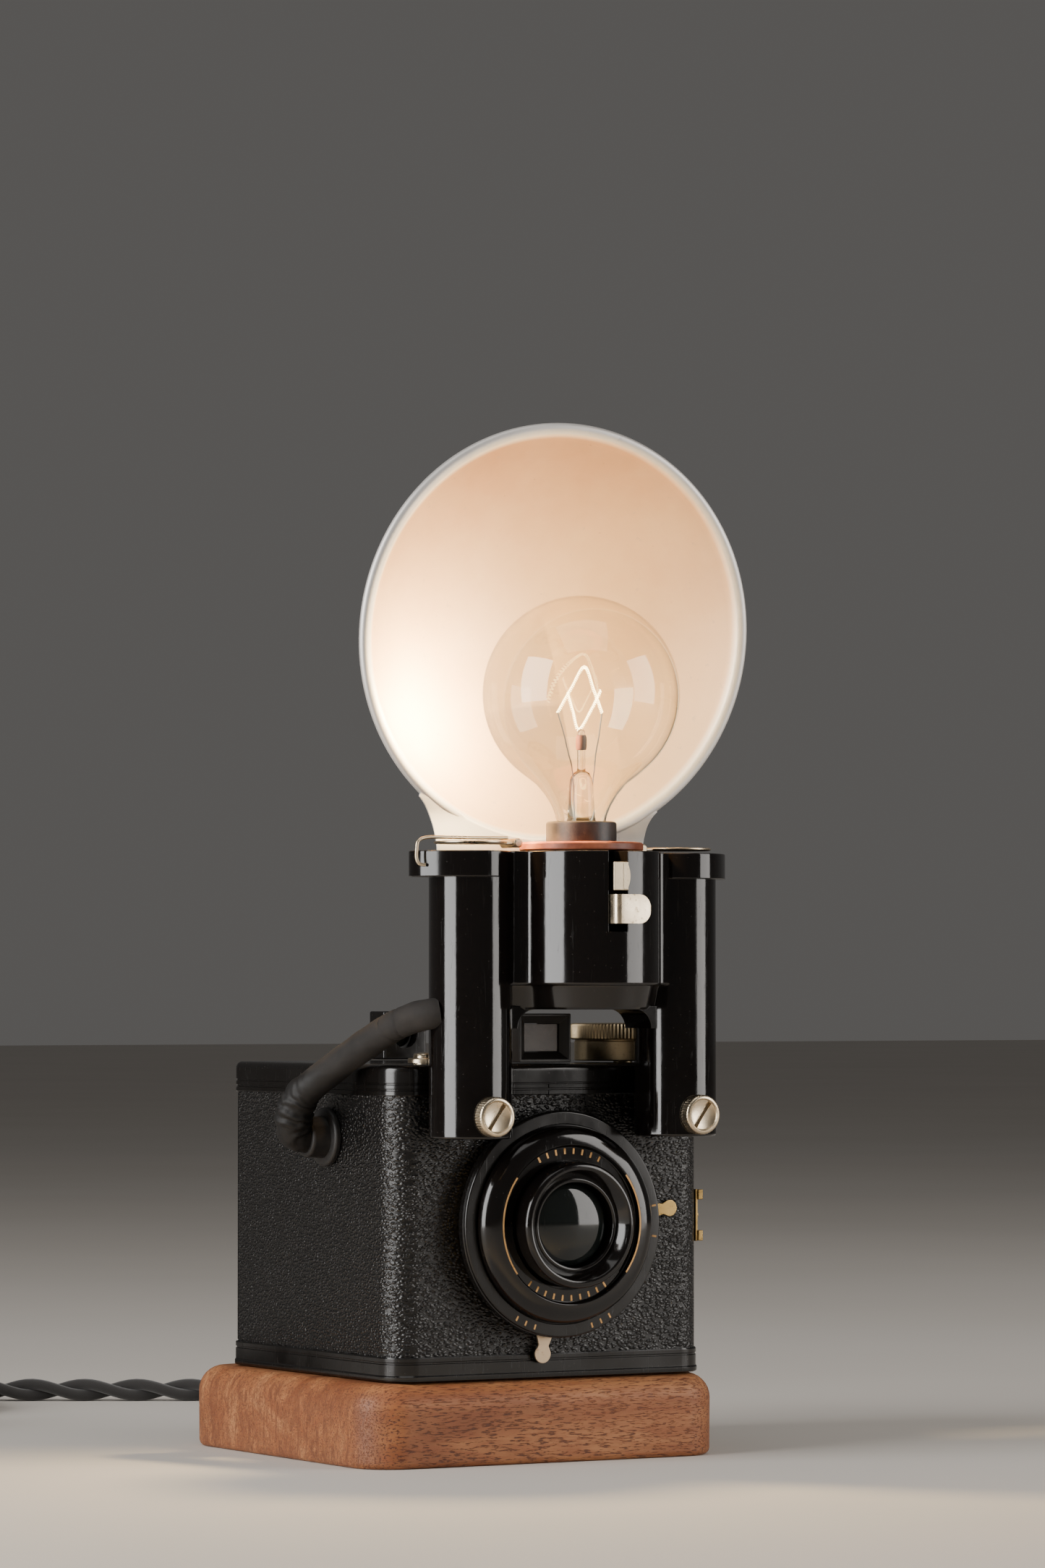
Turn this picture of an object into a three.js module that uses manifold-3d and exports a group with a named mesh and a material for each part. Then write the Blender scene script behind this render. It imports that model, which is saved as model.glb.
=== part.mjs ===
// Table lamp built from an old metal box camera and its clip-on flash holder.
//
// The camera stands on a wooden base.  Its front carries a twin-tube Bakelite flash holder, held by
// two thumb screws, with a lamp socket, a clear globe bulb and an aluminium dish reflector on top.
// Millimetres, +Z up.  While it is being built the lens axis is X = 0, the camera's front wall is
// Y = 0 (the back is +Y) and the table is Z = 0.  The finished group is moved sideways so that the
// origin is the bottom centre of the lamp's bounding box, its cord left out.

import * as THREE from 'three';
import { mergeVertices } from 'three/addons/utils/BufferGeometryUtils.js';
import Module from 'manifold-3d';

const wasm = await Module();
wasm.setup();

// ---------------------------------------------------------------- driving dimensions

const GAP = 0.35;                       // between pieces that touch
const SMOOTH = 28;                      // sides of a large round piece
const ROUND = 18;                       // sides of a small round piece
const DEG = Math.PI / 180;

const BASE = {
  left: -67, right: 61.5, front: -5, back: 122,
  top: 26, corner: 14, topRound: 8, bottomRound: 2,
};

const BODY = { half: 56.5, depth: 108, bottom: 26, top: 124.5, wall: 2, frontCorner: 9, rearCorner: 4 };
const TRIM = { proud: 0.6, bottomTop: 34, capBottom: 114.8, plate: 2 };
const LEAD_HOLE = { x: 40, y: 60, radius: 4.4 };

const LENS_Z = 74.5;                    // height of the lens axis
const LENS = { flange: 35.5, neck: 26, ringOuter: 33, bezel: 31, band: 24.4, rim: 19.6, glass: 12.9 };

const TUBE = { x: 37, y: -13.9, radius: 12.9, bore: 10.5, bottom: 101.8, top: 190.5 };
const DRUM = { y: -23.3, radius: 22.3, bottom: 149, bossBottom: 141.6, bossInset: 2.4 };
const SCREW_Z = 108.7;
const SOCKET = { y: -18.6, radius: 11, bottom: 162, top: 200, bore: 8.4 };
const PLATE = { radius: 19.3, bottom: 190.9, top: 193.5 };
const EAR = { reach: 50.6, y: -9.8, radius: 5.2, bottom: 182.5 };
const SLOT = { left: -5.7, right: 0.7, bottom: 165.5 };

const BULB = { z: 239.7, radius: 30.8, neck: 7.6, bottom: 197, glass: 0.8 };
const DISH = { z: 258.7, y: -4, lip: 64.6, depth: 27, sheet: 1.1, nod: 6.7, turn: 5.7 };
const TONGUE = { half: 13, top: 190, bottom: 152, y: 3.4, thick: 1.2 };

const KNOB = { x: 37, y: 18, radius: 17, skirt: 15.5, bottom: 125.1, band: 131.8, top: 137 };
const SPOOL = { radius: 12.4, core: 5.5, bottom: 42, top: 108 };
const BUTTON = { x: -40, y: 10, radius: 3.5 };

const SIDE_PORT = { y: 43, z: 101.3, radius: 9.3 };
const SLEEVE_RADIUS = 4.3;

const CORD = { diameter: 8, exitX: 40, exitZ: 13, relief: 26 };
const COIL = { x: -115.5, y: 315, inner: 32, outer: 56, height: 16, leaves: 200 };
const PLUG = { axisZ: 13.4, rear: 5.5, front: 13, length: 34, bladeGap: 12.7 };

// ---------------------------------------------------------------- materials

function material(color, roughness, metalness) {
  return new THREE.MeshStandardMaterial({ color, roughness, metalness });
}

const WOOD = material(0x9a5a38, 0.62, 0);
const LEATHERETTE = material(0x16130f, 0.55, 0);
const ENAMEL = material(0x0d0c0b, 0.25, 0.1);
const BAKELITE = material(0x0b0909, 0.14, 0);
const DARK_METAL = material(0x2b2a28, 0.5, 0.6);
const NICKEL = material(0xb9ae98, 0.3, 1);
const BRASS = material(0xa58a58, 0.35, 1);
const STEEL = material(0x9a9a98, 0.35, 1);
const ALUMINIUM = material(0xd6d2cc, 0.4, 1);
const FIBRE = material(0x7a3d22, 0.6, 0);
const GLASS = material(0xe8e6e0, 0.05, 0);
const WINDOW_RED = material(0x7a1510, 0.2, 0);
const RUBBER = material(0x1c1b1a, 0.8, 0);
const CLOTH = material(0x141414, 0.85, 0);
const FILAMENT = material(0xffe2a8, 0.4, 0.5);

// ---------------------------------------------------------------- building tools

// A closed geometry as a solid, turned right side out if its profile ran the other way.
function solid(geometry) {
  const plain = geometry.clone();
  plain.deleteAttribute('normal');
  plain.deleteAttribute('uv');
  const merged = mergeVertices(plain, 1e-4);
  const points = merged.attributes.position;
  const index = merged.index.array.slice();
  const a = new THREE.Vector3();
  const b = new THREE.Vector3();
  const c = new THREE.Vector3();
  let volume = 0;
  for (let i = 0; i < index.length; i += 3) {
    a.fromBufferAttribute(points, index[i]);
    b.fromBufferAttribute(points, index[i + 1]);
    c.fromBufferAttribute(points, index[i + 2]);
    volume += a.dot(b.cross(c));
  }
  if (volume < 0) {
    for (let i = 0; i < index.length; i += 3) {
      [index[i + 1], index[i + 2]] = [index[i + 2], index[i + 1]];
    }
  }
  const vertProperties = new Float32Array(points.array);
  return new wasm.Manifold(new wasm.Mesh({ numProp: 3, vertProperties, triVerts: new Uint32Array(index) }));
}

function join(...solids) {
  return solids.reduce((whole, next) => whole.add(next));
}

function cut(body, ...tools) {
  return tools.reduce((rest, tool) => rest.subtract(tool), body);
}

function box(x0, x1, y0, y1, z0, z1) {
  const geometry = new THREE.BoxGeometry(x1 - x0, y1 - y0, z1 - z0);
  return solid(geometry.translate((x0 + x1) / 2, (y0 + y1) / 2, (z0 + z1) / 2));
}

// A cylinder or cone along Z, from height z0 to z1.
function postZ(x, y, r0, r1, z0, z1, sides = ROUND) {
  const geometry = new THREE.CylinderGeometry(r1, r0, z1 - z0, sides);
  return solid(geometry.rotateX(Math.PI / 2).translate(x, y, (z0 + z1) / 2));
}

// A cylinder along Y, from y0 to y1.
function postY(x, z, radius, y0, y1, sides = ROUND) {
  const geometry = new THREE.CylinderGeometry(radius, radius, y1 - y0, sides);
  return solid(geometry.translate(x, (y0 + y1) / 2, z));
}

// A cylinder along X, from x0 to x1.
function postX(y, z, radius, x0, x1, sides = ROUND) {
  const geometry = new THREE.CylinderGeometry(radius, radius, x1 - x0, sides);
  return solid(geometry.rotateZ(Math.PI / 2).translate((x0 + x1) / 2, y, z));
}

function extrude(shape, z0, z1, curveSegments = 5) {
  const geometry = new THREE.ExtrudeGeometry(shape, { depth: z1 - z0, bevelEnabled: false, curveSegments });
  return solid(geometry.translate(0, 0, z0));
}

// An extrusion whose top and bottom edges are rounded by the given radius.
function pillow(shape, z0, z1, radius, segments, curveSegments = 5) {
  const geometry = new THREE.ExtrudeGeometry(shape, {
    depth: z1 - z0 - 2 * radius,
    bevelThickness: radius,
    bevelSize: radius,
    bevelOffset: -radius,
    bevelSegments: segments,
    curveSegments,
  });
  return solid(geometry.translate(0, 0, z0 + radius));
}

// A round piece about a vertical axis.  The profile is a list of [radius, height].
function turned(profile, x, y, z = 0, sides = SMOOTH) {
  const points = profile.map(([r, h]) => new THREE.Vector2(r, h));
  const geometry = new THREE.LatheGeometry([...points, points[0]], sides);
  return solid(geometry.rotateX(Math.PI / 2).translate(x, y, z));
}

// A round piece about the lens axis.  Heights are measured forwards from the camera's front wall.
function turnedForward(profile, x, z, sides = SMOOTH) {
  const points = profile.map(([r, h]) => new THREE.Vector2(r, h));
  const geometry = new THREE.LatheGeometry([...points, points[0]], sides);
  return solid(geometry.rotateX(Math.PI).translate(x, 0, z));
}

// A round bar along a smooth line through the given points.
function bar(points, radius, sides, steps, tension = 0.5) {
  const corners = points.map((p) => new THREE.Vector3(...p));
  const path = new THREE.CatmullRomCurve3(corners, false, 'catmullrom', tension);
  const section = new THREE.Shape();
  for (let i = 0; i < sides; i++) {
    const angle = (2 * Math.PI * i) / sides;
    const corner = [radius * Math.cos(angle), radius * Math.sin(angle)];
    if (i === 0) section.moveTo(...corner);
    else section.lineTo(...corner);
  }
  section.closePath();
  return solid(new THREE.ExtrudeGeometry(section, { extrudePath: path, steps, bevelEnabled: false }));
}

// Points along an arc, as [radius, height] pairs for a profile.
function arc(cr, ch, radiusR, radiusH, from, to, count) {
  return Array.from({ length: count + 1 }, (_, i) => {
    const angle = (from + ((to - from) * i) / count) * DEG;
    return [cr + radiusR * Math.cos(angle), ch + radiusH * Math.sin(angle)];
  });
}

function roundedRectangle(x0, x1, y0, y1, front, rear = front) {
  const shape = new THREE.Shape();
  shape.moveTo(x0 + front, y0);
  shape.lineTo(x1 - front, y0);
  shape.absarc(x1 - front, y0 + front, front, -Math.PI / 2, 0);
  shape.lineTo(x1, y1 - rear);
  shape.absarc(x1 - rear, y1 - rear, rear, 0, Math.PI / 2);
  shape.lineTo(x0 + rear, y1);
  shape.absarc(x0 + rear, y1 - rear, rear, Math.PI / 2, Math.PI);
  shape.lineTo(x0, y0 + front);
  shape.absarc(x0 + front, y0 + front, front, Math.PI, 1.5 * Math.PI);
  return shape;
}

// The outline that wraps tightly round two circles.
function lobe(xA, yA, rA, xB, yB, rB) {
  const along = Math.atan2(yB - yA, xB - xA);
  const spread = Math.acos((rA - rB) / Math.hypot(xB - xA, yB - yA));
  const shape = new THREE.Shape();
  shape.absarc(xB, yB, rB, along - spread, along + spread);
  shape.absarc(xA, yA, rA, along + spread, along - spread + 2 * Math.PI);
  return shape;
}

const lamp = new THREE.Group();
const cordGroup = new THREE.Group();

function place(name, body, finish, group = lamp) {
  const { vertProperties, triVerts, numProp } = body.getMesh();
  const geometry = new THREE.BufferGeometry();
  const positions = new Float32Array((vertProperties.length / numProp) * 3);
  for (let i = 0; i < positions.length / 3; i++) {
    positions.set(vertProperties.subarray(i * numProp, i * numProp + 3), i * 3);
  }
  geometry.setAttribute('position', new THREE.BufferAttribute(positions, 3));
  geometry.setIndex(new THREE.BufferAttribute(new Uint32Array(triVerts), 1));
  geometry.computeVertexNormals();
  const mesh = new THREE.Mesh(geometry, finish);
  mesh.name = name;
  group.add(mesh);
  return mesh;
}

// ---------------------------------------------------------------- wooden base

function woodenBase() {
  const { left, right, front, back, top, corner, topRound, bottomRound } = BASE;
  const outline = () => roundedRectangle(left, right, front, back, corner);
  const lower = pillow(outline(), 0, top - topRound, bottomRound, 2);
  const upper = pillow(outline(), bottomRound + 2, top, topRound, 3);
  const boltHole = postZ(0, 45, 3.7, 3.7, -1, top + 1);
  const boltSink = postZ(0, 45, 7.5, 7.5, -1, 7);
  const cordBore = postY(CORD.exitX, CORD.exitZ, 5, LEAD_HOLE.y - 5, back + 1);
  const riser = postZ(LEAD_HOLE.x, LEAD_HOLE.y, LEAD_HOLE.radius, LEAD_HOLE.radius, CORD.exitZ, top + 1);
  place('wood_base', cut(join(lower, upper), boltHole, boltSink, cordBore, riser), WOOD);

  const head = postZ(0, 45, 6.6, 6.6, 2, 6.6);
  const shank = postZ(0, 45, 3.2, 3.2, 6, 30.4);
  place('base_bolt', join(head, shank), STEEL);
}

// ---------------------------------------------------------------- camera body

function bodyOutline(grow) {
  const { half, depth, frontCorner, rearCorner } = BODY;
  const [front, rear] = [frontCorner + grow, rearCorner + grow];
  return roundedRectangle(-half - grow, half + grow, -grow, depth + grow, front, rear);
}

const HINGE = { x: BODY.half + 1.9, y: BODY.depth + 0.6, barrel: 2.2, pin: 1 };
const DOOR = { bottom: TRIM.bottomTop + 0.6, top: TRIM.capBottom - 0.6, front: BODY.depth - 3 };

function hingeKnuckle(z0, z1, towards) {
  const barrel = postZ(HINGE.x, HINGE.y, HINGE.barrel, HINGE.barrel, z0, z1);
  const leaf = towards === 'body'
    ? box(BODY.half - 0.5, BODY.half + 1.2, DOOR.front - 8, HINGE.y, z0, z1)
    : box(BODY.half - 4, HINGE.x, BODY.depth - 0.6, BODY.depth + 0.8, z0, z1);
  const pinHole = postZ(HINGE.x, HINGE.y, HINGE.pin + GAP, HINGE.pin + GAP, z0 - 1, z1 + 1, 16);
  return cut(join(barrel, leaf), pinHole);
}

function cameraBody() {
  const { half, depth, bottom, top, wall } = BODY;
  const shellBottom = bottom + GAP + TRIM.plate + GAP;
  const shellTop = top - TRIM.plate - GAP;
  const outside = extrude(bodyOutline(0), shellBottom, shellTop);
  const inside = extrude(bodyOutline(-wall), shellBottom - 1, shellTop + 1);
  const rear = box(-half - 1, half + 1, DOOR.front - 0.4, depth + 1, shellBottom - 1, shellTop + 1);
  const lensHole = postY(0, LENS_Z, 9, -1, wall + 1);
  const portHole = postX(SIDE_PORT.y, SIDE_PORT.z, 5.4, -half - 1, -half + wall + 1);
  const screwHoles = [-TUBE.x, TUBE.x].map((x) => postY(x, SCREW_Z, 2.3, -1, wall + 1, 16));
  const shell = cut(outside, inside, rear, lensHole, portHole, ...screwHoles);
  const knuckles = [hingeKnuckle(44, 59.5, 'body'), hingeKnuckle(90.5, 106, 'body')];
  place('body_shell', join(shell, ...knuckles), LEATHERETTE);

  const tray = extrude(bodyOutline(TRIM.proud), bottom + GAP, TRIM.bottomTop);
  const trayInside = extrude(bodyOutline(GAP), bottom + GAP + TRIM.plate, TRIM.bottomTop + 1);
  const leadHole = postZ(LEAD_HOLE.x, LEAD_HOLE.y, LEAD_HOLE.radius, LEAD_HOLE.radius, bottom, bottom + 4);
  const boltHole = postZ(0, 45, 3.7, 3.7, bottom, bottom + 4);
  place('bottom_trim', cut(tray, trayInside, leadHole, boltHole), ENAMEL);

  const lid = pillow(bodyOutline(TRIM.proud), TRIM.capBottom - 3, top, 1.6, 2);
  const lidBelow = box(-half - 9, half + 9, -9, depth + 9, TRIM.capBottom - 9, TRIM.capBottom);
  const lidInside = extrude(bodyOutline(GAP), TRIM.capBottom - 1, top - TRIM.plate);
  const knobHole = postZ(KNOB.x, KNOB.y, 3.4, 3.4, top - 4, top + 1);
  const buttonHole = postZ(BUTTON.x, BUTTON.y, BUTTON.radius + GAP, BUTTON.radius + GAP, top - 4, top + 1);
  place('top_cap', cut(lid, lidBelow, lidInside, knobHole, buttonHole), ENAMEL);

  place('screw_insert_left', screwInsert(-TUBE.x), BRASS);
  place('screw_insert_right', screwInsert(TUBE.x), BRASS);
  place('side_bracket', sideBracket(), BRASS);
}

function screwInsert(x) {
  const bush = postY(x, SCREW_Z, 4, BODY.wall + GAP, 5);
  return cut(bush, postY(x, SCREW_Z, 2.3, 0, 9, 16));
}

function sideBracket() {
  const x0 = BODY.half + GAP;
  const strip = box(x0, x0 + 0.9, 6, 12, 67.5, 84);
  const lower = box(x0, x0 + 2.6, 5.5, 11, 67.5, 71);
  const upper = box(x0, x0 + 2.6, 5.5, 11, 80.6, 84);
  return join(strip, lower, upper);
}

function backCover() {
  const { half, depth, rearCorner } = BODY;
  const panel = extrude(bodyOutline(0), DOOR.bottom, DOOR.top);
  const keep = box(-half - 1, half - 1, DOOR.front, depth + 1, DOOR.bottom - 1, DOOR.top + 1);
  const windowHole = postY(0, LENS_Z, 6.4, DOOR.front - 1, depth + 1);
  const ribBottom = DOOR.bottom + 4;
  const stiffener = box(
    -half + rearCorner + 2, half - 8, DOOR.front - 1.2, DOOR.front + 0.5, ribBottom, ribBottom + 2,
  );
  const door = join(cut(panel.intersect(keep), windowHole), stiffener, hingeKnuckle(60, 90, 'door'));
  place('back_cover', door, LEATHERETTE);
  place('frame_window', postY(0, LENS_Z, 6, DOOR.front + 0.8, DOOR.front + 2), WINDOW_RED);
  place('hinge_pin', postZ(HINGE.x, HINGE.y, HINGE.pin, HINGE.pin, 44, 106, 16), STEEL);

  const slider = box(-50, -38, depth + GAP, depth + 1.4, 68, 81);
  const grips = [-47.5, -45, -42.5].map((x) => box(x - 0.5, x + 0.5, depth + 1, depth + 2.6, 69.5, 79.5));
  place('back_latch', join(slider, ...grips), NICKEL);
}

// ---------------------------------------------------------------- inside the camera

function cameraInside() {
  const { half, wall } = BODY;
  const frame = box(-half + wall + 0.6, half - wall - 0.6, 90, 92, 36, 113);
  place('film_frame', cut(frame, box(-41, 41, 89, 93, LENS_Z - 28.5, LENS_Z + 28.5)), DARK_METAL);

  const plate = box(-22, 22, wall + GAP, wall + GAP + 1.6, LENS_Z - 22, LENS_Z + 22);
  place('shutter_plate', cut(plate, postY(0, LENS_Z, 5, 0, 9)), STEEL);
  place('supply_spool', spool(-KNOB.x, KNOB.y), DARK_METAL);
}

function spool(x, y) {
  const { radius, core, bottom, top } = SPOOL;
  const profile = [[0, bottom], [radius, bottom], [radius, bottom + 1.4], [core, bottom + 1.4],
    [core, top - 1.4], [radius, top - 1.4], [radius, top], [0, top]];
  return turned(profile, x, y, 0, ROUND);
}

// ---------------------------------------------------------------- lens, rings and levers

function lensGroup() {
  const { flange, neck, bezel, band, rim, glass } = LENS;
  place('lens_neck', turnedForward([[8.6, GAP], [neck, GAP], [neck, 3.1], [8.6, 3.1]], 0, LENS_Z), ENAMEL);
  const flangeProfile = [
    [9, 3.4], [flange - 0.7, 3.4], [flange, 4.1], [flange, 7.1], [flange - 0.5, 7.6], [9, 7.6],
  ];
  place('lens_flange', turnedForward(flangeProfile, 0, LENS_Z, 36), ENAMEL);
  const bezelRound = arc(band + 0.6, 8.6, bezel - band - 0.6, 4.4, 0, 90, 4);
  const bezelProfile = [
    [20.2, 7.95], [bezel, 7.95], ...bezelRound, [band, 12.4], [band, 11], [20.2, 11],
  ];
  place('lens_bezel', turnedForward(bezelProfile, 0, LENS_Z, 32), BAKELITE);
  const barrelProfile = [[13.3, 7.95], [rim, 7.95], ...arc(rim - 1.6, 17.4, 1.6, 1.5, 0, 150, 4),
    [14.4, 14.9], [13.3, 14.9]];
  place('lens_barrel', turnedForward(barrelProfile, 0, LENS_Z), BAKELITE);
  const bulgePoint = (t) => [glass * (1 - t), 11.6 + 2.9 * (1 - (1 - t) ** 2)];
  const bulge = [0, 1, 2, 3, 4].map((i) => bulgePoint(i / 4));
  place('front_glass', turnedForward([[0, 10.4], [glass, 10.4], ...bulge], 0, LENS_Z, 28), GLASS);
  place('speed_lever', controlRing(0.75, 1.55, 5.4, 42.8, 2.6, 2.1), BRASS);
  place('focus_lever', controlRing(1.95, 2.75, 263.5, 40.9, 2.85, 2.3), NICKEL);
}

// A thin ring about the lens neck with a round-ended finger tab pointing at the given angle.
function controlRing(h0, h1, angle, reach, tip, waist) {
  const { neck, ringOuter } = LENS;
  const inner = neck + GAP;
  const ring = turnedForward([[inner, h0], [ringOuter, h0], [ringOuter, h1], [inner, h1]], 0, LENS_Z);
  const stem = box(ringOuter - 3, reach, -h1, -h0, -waist, waist);
  const end = postY(reach, 0, tip, -h1, -h0);
  return ring.add(join(stem, end).rotate([0, -angle, 0]).translate([0, 0, LENS_Z]));
}

// ---------------------------------------------------------------- camera top: finder, knob, button

function finder() {
  const floor = BODY.top + GAP;
  const hood = box(-10.4, 8.4, 2, 18, floor, 140.2);
  const flare = new THREE.ExtrudeGeometry(roundedRectangle(-7.25, 5.25, 128.2, 137.1, 0.3), {
    depth: 14, bevelThickness: 5, bevelSize: 2.5, bevelOffset: 0, bevelSegments: 1, curveSegments: 1,
  });
  const mouth = solid(flare.rotateX(Math.PI / 2).translate(0, 19.5, 0));
  const tunnel = box(-7.25, 5.25, 1, 20, 128.2, 137.1);
  const bevel = mouth.intersect(box(-12, 10, 0, 7, 124, 142));
  place('finder_hood', cut(hood, bevel, tunnel), ENAMEL);
  place('finder_glass', box(-6.9, 4.9, 7.2, 8.4, 128.55, 136.75), GLASS);

  const block = box(-8, 8, 95, 105, floor, 140.6);
  place('finder_eyepiece', cut(block, postY(0, 133, 4.5, 94, 106)), ENAMEL);
  place('eyepiece_glass', postY(0, 133, 4.1, 99, 100.4), GLASS);
}

function winder() {
  const { x, y, radius, skirt, bottom, band, top } = KNOB;
  const shaftEnd = SPOOL.top + GAP;
  const profile = [
    [0, shaftEnd], [3, shaftEnd], [3, bottom], [skirt, bottom], [skirt, band], [radius - 0.5, band],
    [radius, band + 0.5], [radius, top - 0.5], [radius - 0.6, top], [11, top], [10, top - 1], [0, top - 1],
  ];
  place('winding_knob', turned(profile, x, y), NICKEL);
  place('takeup_spool', spool(x, y), DARK_METAL);
}

function releaseButton() {
  const { x, y, radius } = BUTTON;
  const floor = BODY.top + GAP;
  const collar = [[radius + GAP, floor], [5.2, floor], [5.2, 126.1], [4.9, 126.4], [radius + GAP, 126.4]];
  place('button_collar', turned(collar, x, y, 0, ROUND), NICKEL);
  const plunger = [[0, 117], [radius, 117], [radius, 127.2], [radius - 0.8, 128], [0, 128.3]];
  place('release_button', turned(plunger, x, y, 0, ROUND), NICKEL);
}

// ---------------------------------------------------------------- flash holder

// Where a fillet of radius r touches both the tube and the drum, on their front side.
function filletCentre(tubeRadius, drumRadius, r) {
  const a = tubeRadius + r;
  const b = drumRadius + r;
  const dx = -TUBE.x;
  const dy = DRUM.y - TUBE.y;
  const d = Math.hypot(dx, dy);
  const along = (a * a - b * b + d * d) / (2 * d);
  const aside = Math.sqrt(a * a - along * along);
  return [TUBE.x + (along * dx - aside * dy) / d, TUBE.y + (along * dy + aside * dx) / d];
}

// Plan of the holder's middle: drum, tubes and the fillets between them, flat behind.
function holderOutline(inset) {
  const tubeRadius = TUBE.radius - inset;
  const drumRadius = DRUM.radius - inset;
  const fillet = 5 + inset;
  const [fx, fy] = filletCentre(tubeRadius, drumRadius, fillet);
  const onTube = Math.atan2(fy - TUBE.y, fx - TUBE.x);
  const onDrum = Math.atan2(fy - DRUM.y, fx);
  const shape = new THREE.Shape();
  shape.moveTo(-TUBE.x, TUBE.y + tubeRadius);
  shape.lineTo(-TUBE.x, TUBE.y);
  shape.absarc(-TUBE.x, TUBE.y, tubeRadius, -Math.PI / 2, Math.PI - onTube - 2 * Math.PI, false);
  shape.absarc(-fx, fy, fillet, Math.PI - onTube - Math.PI, Math.PI - onDrum - Math.PI, true);
  shape.absarc(0, DRUM.y, drumRadius, Math.PI - onDrum - 2 * Math.PI, onDrum, false);
  shape.absarc(fx, fy, fillet, onDrum + Math.PI, onTube + Math.PI, true);
  shape.absarc(TUBE.x, TUBE.y, tubeRadius, onTube, -Math.PI / 2, false);
  shape.lineTo(TUBE.x, TUBE.y);
  shape.lineTo(TUBE.x, TUBE.y + tubeRadius);
  return shape;
}

function flashHolder() {
  const { x, y, radius, bore, bottom, top } = TUBE;
  const sides = [-1, 1];
  const block = extrude(holderOutline(0), DRUM.bottom, top, 10);
  const boss = extrude(holderOutline(DRUM.bossInset), DRUM.bossBottom, DRUM.bottom + 1, 8);
  const tubes = sides.map((s) => postZ(s * x, y, radius, radius, bottom, top, SMOOTH));
  const earOutline = (s) => lobe(s * x, y, radius + 0.8, s * EAR.reach, EAR.y, EAR.radius);
  const ears = sides.map((s) => extrude(earOutline(s), EAR.bottom, top));
  const legCorners = sides.map((s) => archCorner(s));
  const whole = join(block, boss, ...tubes, ...ears, ...legCorners);

  const tubeBores = sides.map((s) => postZ(s * x, y, bore, bore, bottom + 3, top + 1, 28));
  const screwHoles = sides.map((s) => postY(s * x, SCREW_Z, 2.3, y - radius - 1, y + radius + 1, 16));
  const drumBore = postZ(0, SOCKET.y, 12.6, 12.6, 152.5, top + 1, 28);
  const slot = box(SLOT.left, SLOT.right, DRUM.y - DRUM.radius - 1, SOCKET.y - 8, SLOT.bottom, top + 1);
  const sleeveHole = postX(y, 140.4, 3.7, -x - radius - 1, -x, 16);
  const crossHole = postX(-16, 156, 3.1, -x, -6, 16);
  const holder = cut(whole, ...tubeBores, ...screwHoles, drumBore, slot, sleeveHole, crossHole);
  place('flash_holder', holder, BAKELITE);
}

// The rounded upper corner of the gap between the tubes.
function archCorner(side) {
  const radius = 6;
  const inner = TUBE.x - TUBE.radius;
  const shape = new THREE.Shape();
  shape.moveTo(inner + 2, DRUM.bossBottom + 1);
  shape.lineTo(inner - radius, DRUM.bossBottom + 1);
  shape.lineTo(inner - radius, DRUM.bossBottom);
  shape.absarc(inner - radius, DRUM.bossBottom - radius, radius, Math.PI / 2, 0, true);
  shape.lineTo(inner + 2, DRUM.bossBottom - radius);
  const geometry = new THREE.ExtrudeGeometry(shape, { depth: 16, bevelEnabled: false, curveSegments: 6 });
  geometry.rotateX(Math.PI / 2).translate(0, TUBE.y + 9, 0);
  const corner = solid(geometry);
  return side > 0 ? corner : corner.mirror([1, 0, 0]);
}

function ejectorTabs() {
  const front = DRUM.y - DRUM.radius;
  const plan = new THREE.Shape();
  plan.moveTo(-5.3, SOCKET.y - 13);
  plan.lineTo(-5.3, front - 1.4);
  plan.absarc(-3.4, front - 1.4, 1.9, Math.PI, 1.5 * Math.PI);
  plan.lineTo(7.9, front - 3.3);
  plan.lineTo(7.9, front - 2.4);
  plan.lineTo(-3.4, front - 2.4);
  plan.absarc(-3.4, front - 1.4, 1, 1.5 * Math.PI, Math.PI, true);
  plan.lineTo(-4.4, SOCKET.y - 13);
  const strip = extrude(plan, 168, 177);
  const roundEnd = postY(3.4, 172.5, 4.5, front - 4, front + 9);
  const keepLeft = box(-9, 3.4, front - 5, 0, 160, 180);
  place('ejector_lever', strip.intersect(roundEnd.add(keepLeft)), NICKEL);

  const bow = bar([[-2.5, SOCKET.y - 14, 178.6], [-2.5, front - 0.2, 179.2], [-2.5, front - 1.1, 182.5],
    [-2.5, front - 0.2, 186]], 0.45, 8, 12);
  const blade = box(-5, 0.2, front - 1.3, front - 0.5, 178.2, 187);
  place('upper_tab', join(blade, bow), NICKEL);
}

function tubeCaps() {
  const { x, y, top } = TUBE;
  const discProfile = (z) => [
    [0, z], [10.9, z], [11.4, z + 0.4], [11.2, z + 0.8], [9.4, z + 0.9], [8.9, z + 0.5], [0, z + 0.5],
  ];
  for (const [name, side, z] of [['left_cap', -1, top + 2.2], ['right_cap', 1, top + 0.9]]) {
    const disc = turned(discProfile(z), side * x, y, 0, 24);
    const roll = postY(side * 22.6, z + 0.4, 1.25, y - 5, y + 5, 12);
    const [inner, outer] = [side * 22.6, side * 28];
    const strap = box(Math.min(inner, outer), Math.max(inner, outer), y - 4, y + 4, z, z + 0.5);
    place(name, join(disc, roll, strap), NICKEL);
  }
  const wire = [
    [-24.5, y - 1.2, top + 4.2], [-34, y - 1.6, top + 4.1], [-46, y - 2, top + 4.1],
    [-53.5, y - 2.1, top + 4], [-56.6, y - 2.2, top + 2.9], [-57.2, y - 2.2, top + 0.5],
    [-57.2, y - 2.2, top - 2.6], [-56.4, y - 2.6, top - 4.2], [-54.6, y - 3, top - 4.5],
  ];
  place('bail_wire', bar(wire, 0.55, 6, 20), NICKEL);
}

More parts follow.
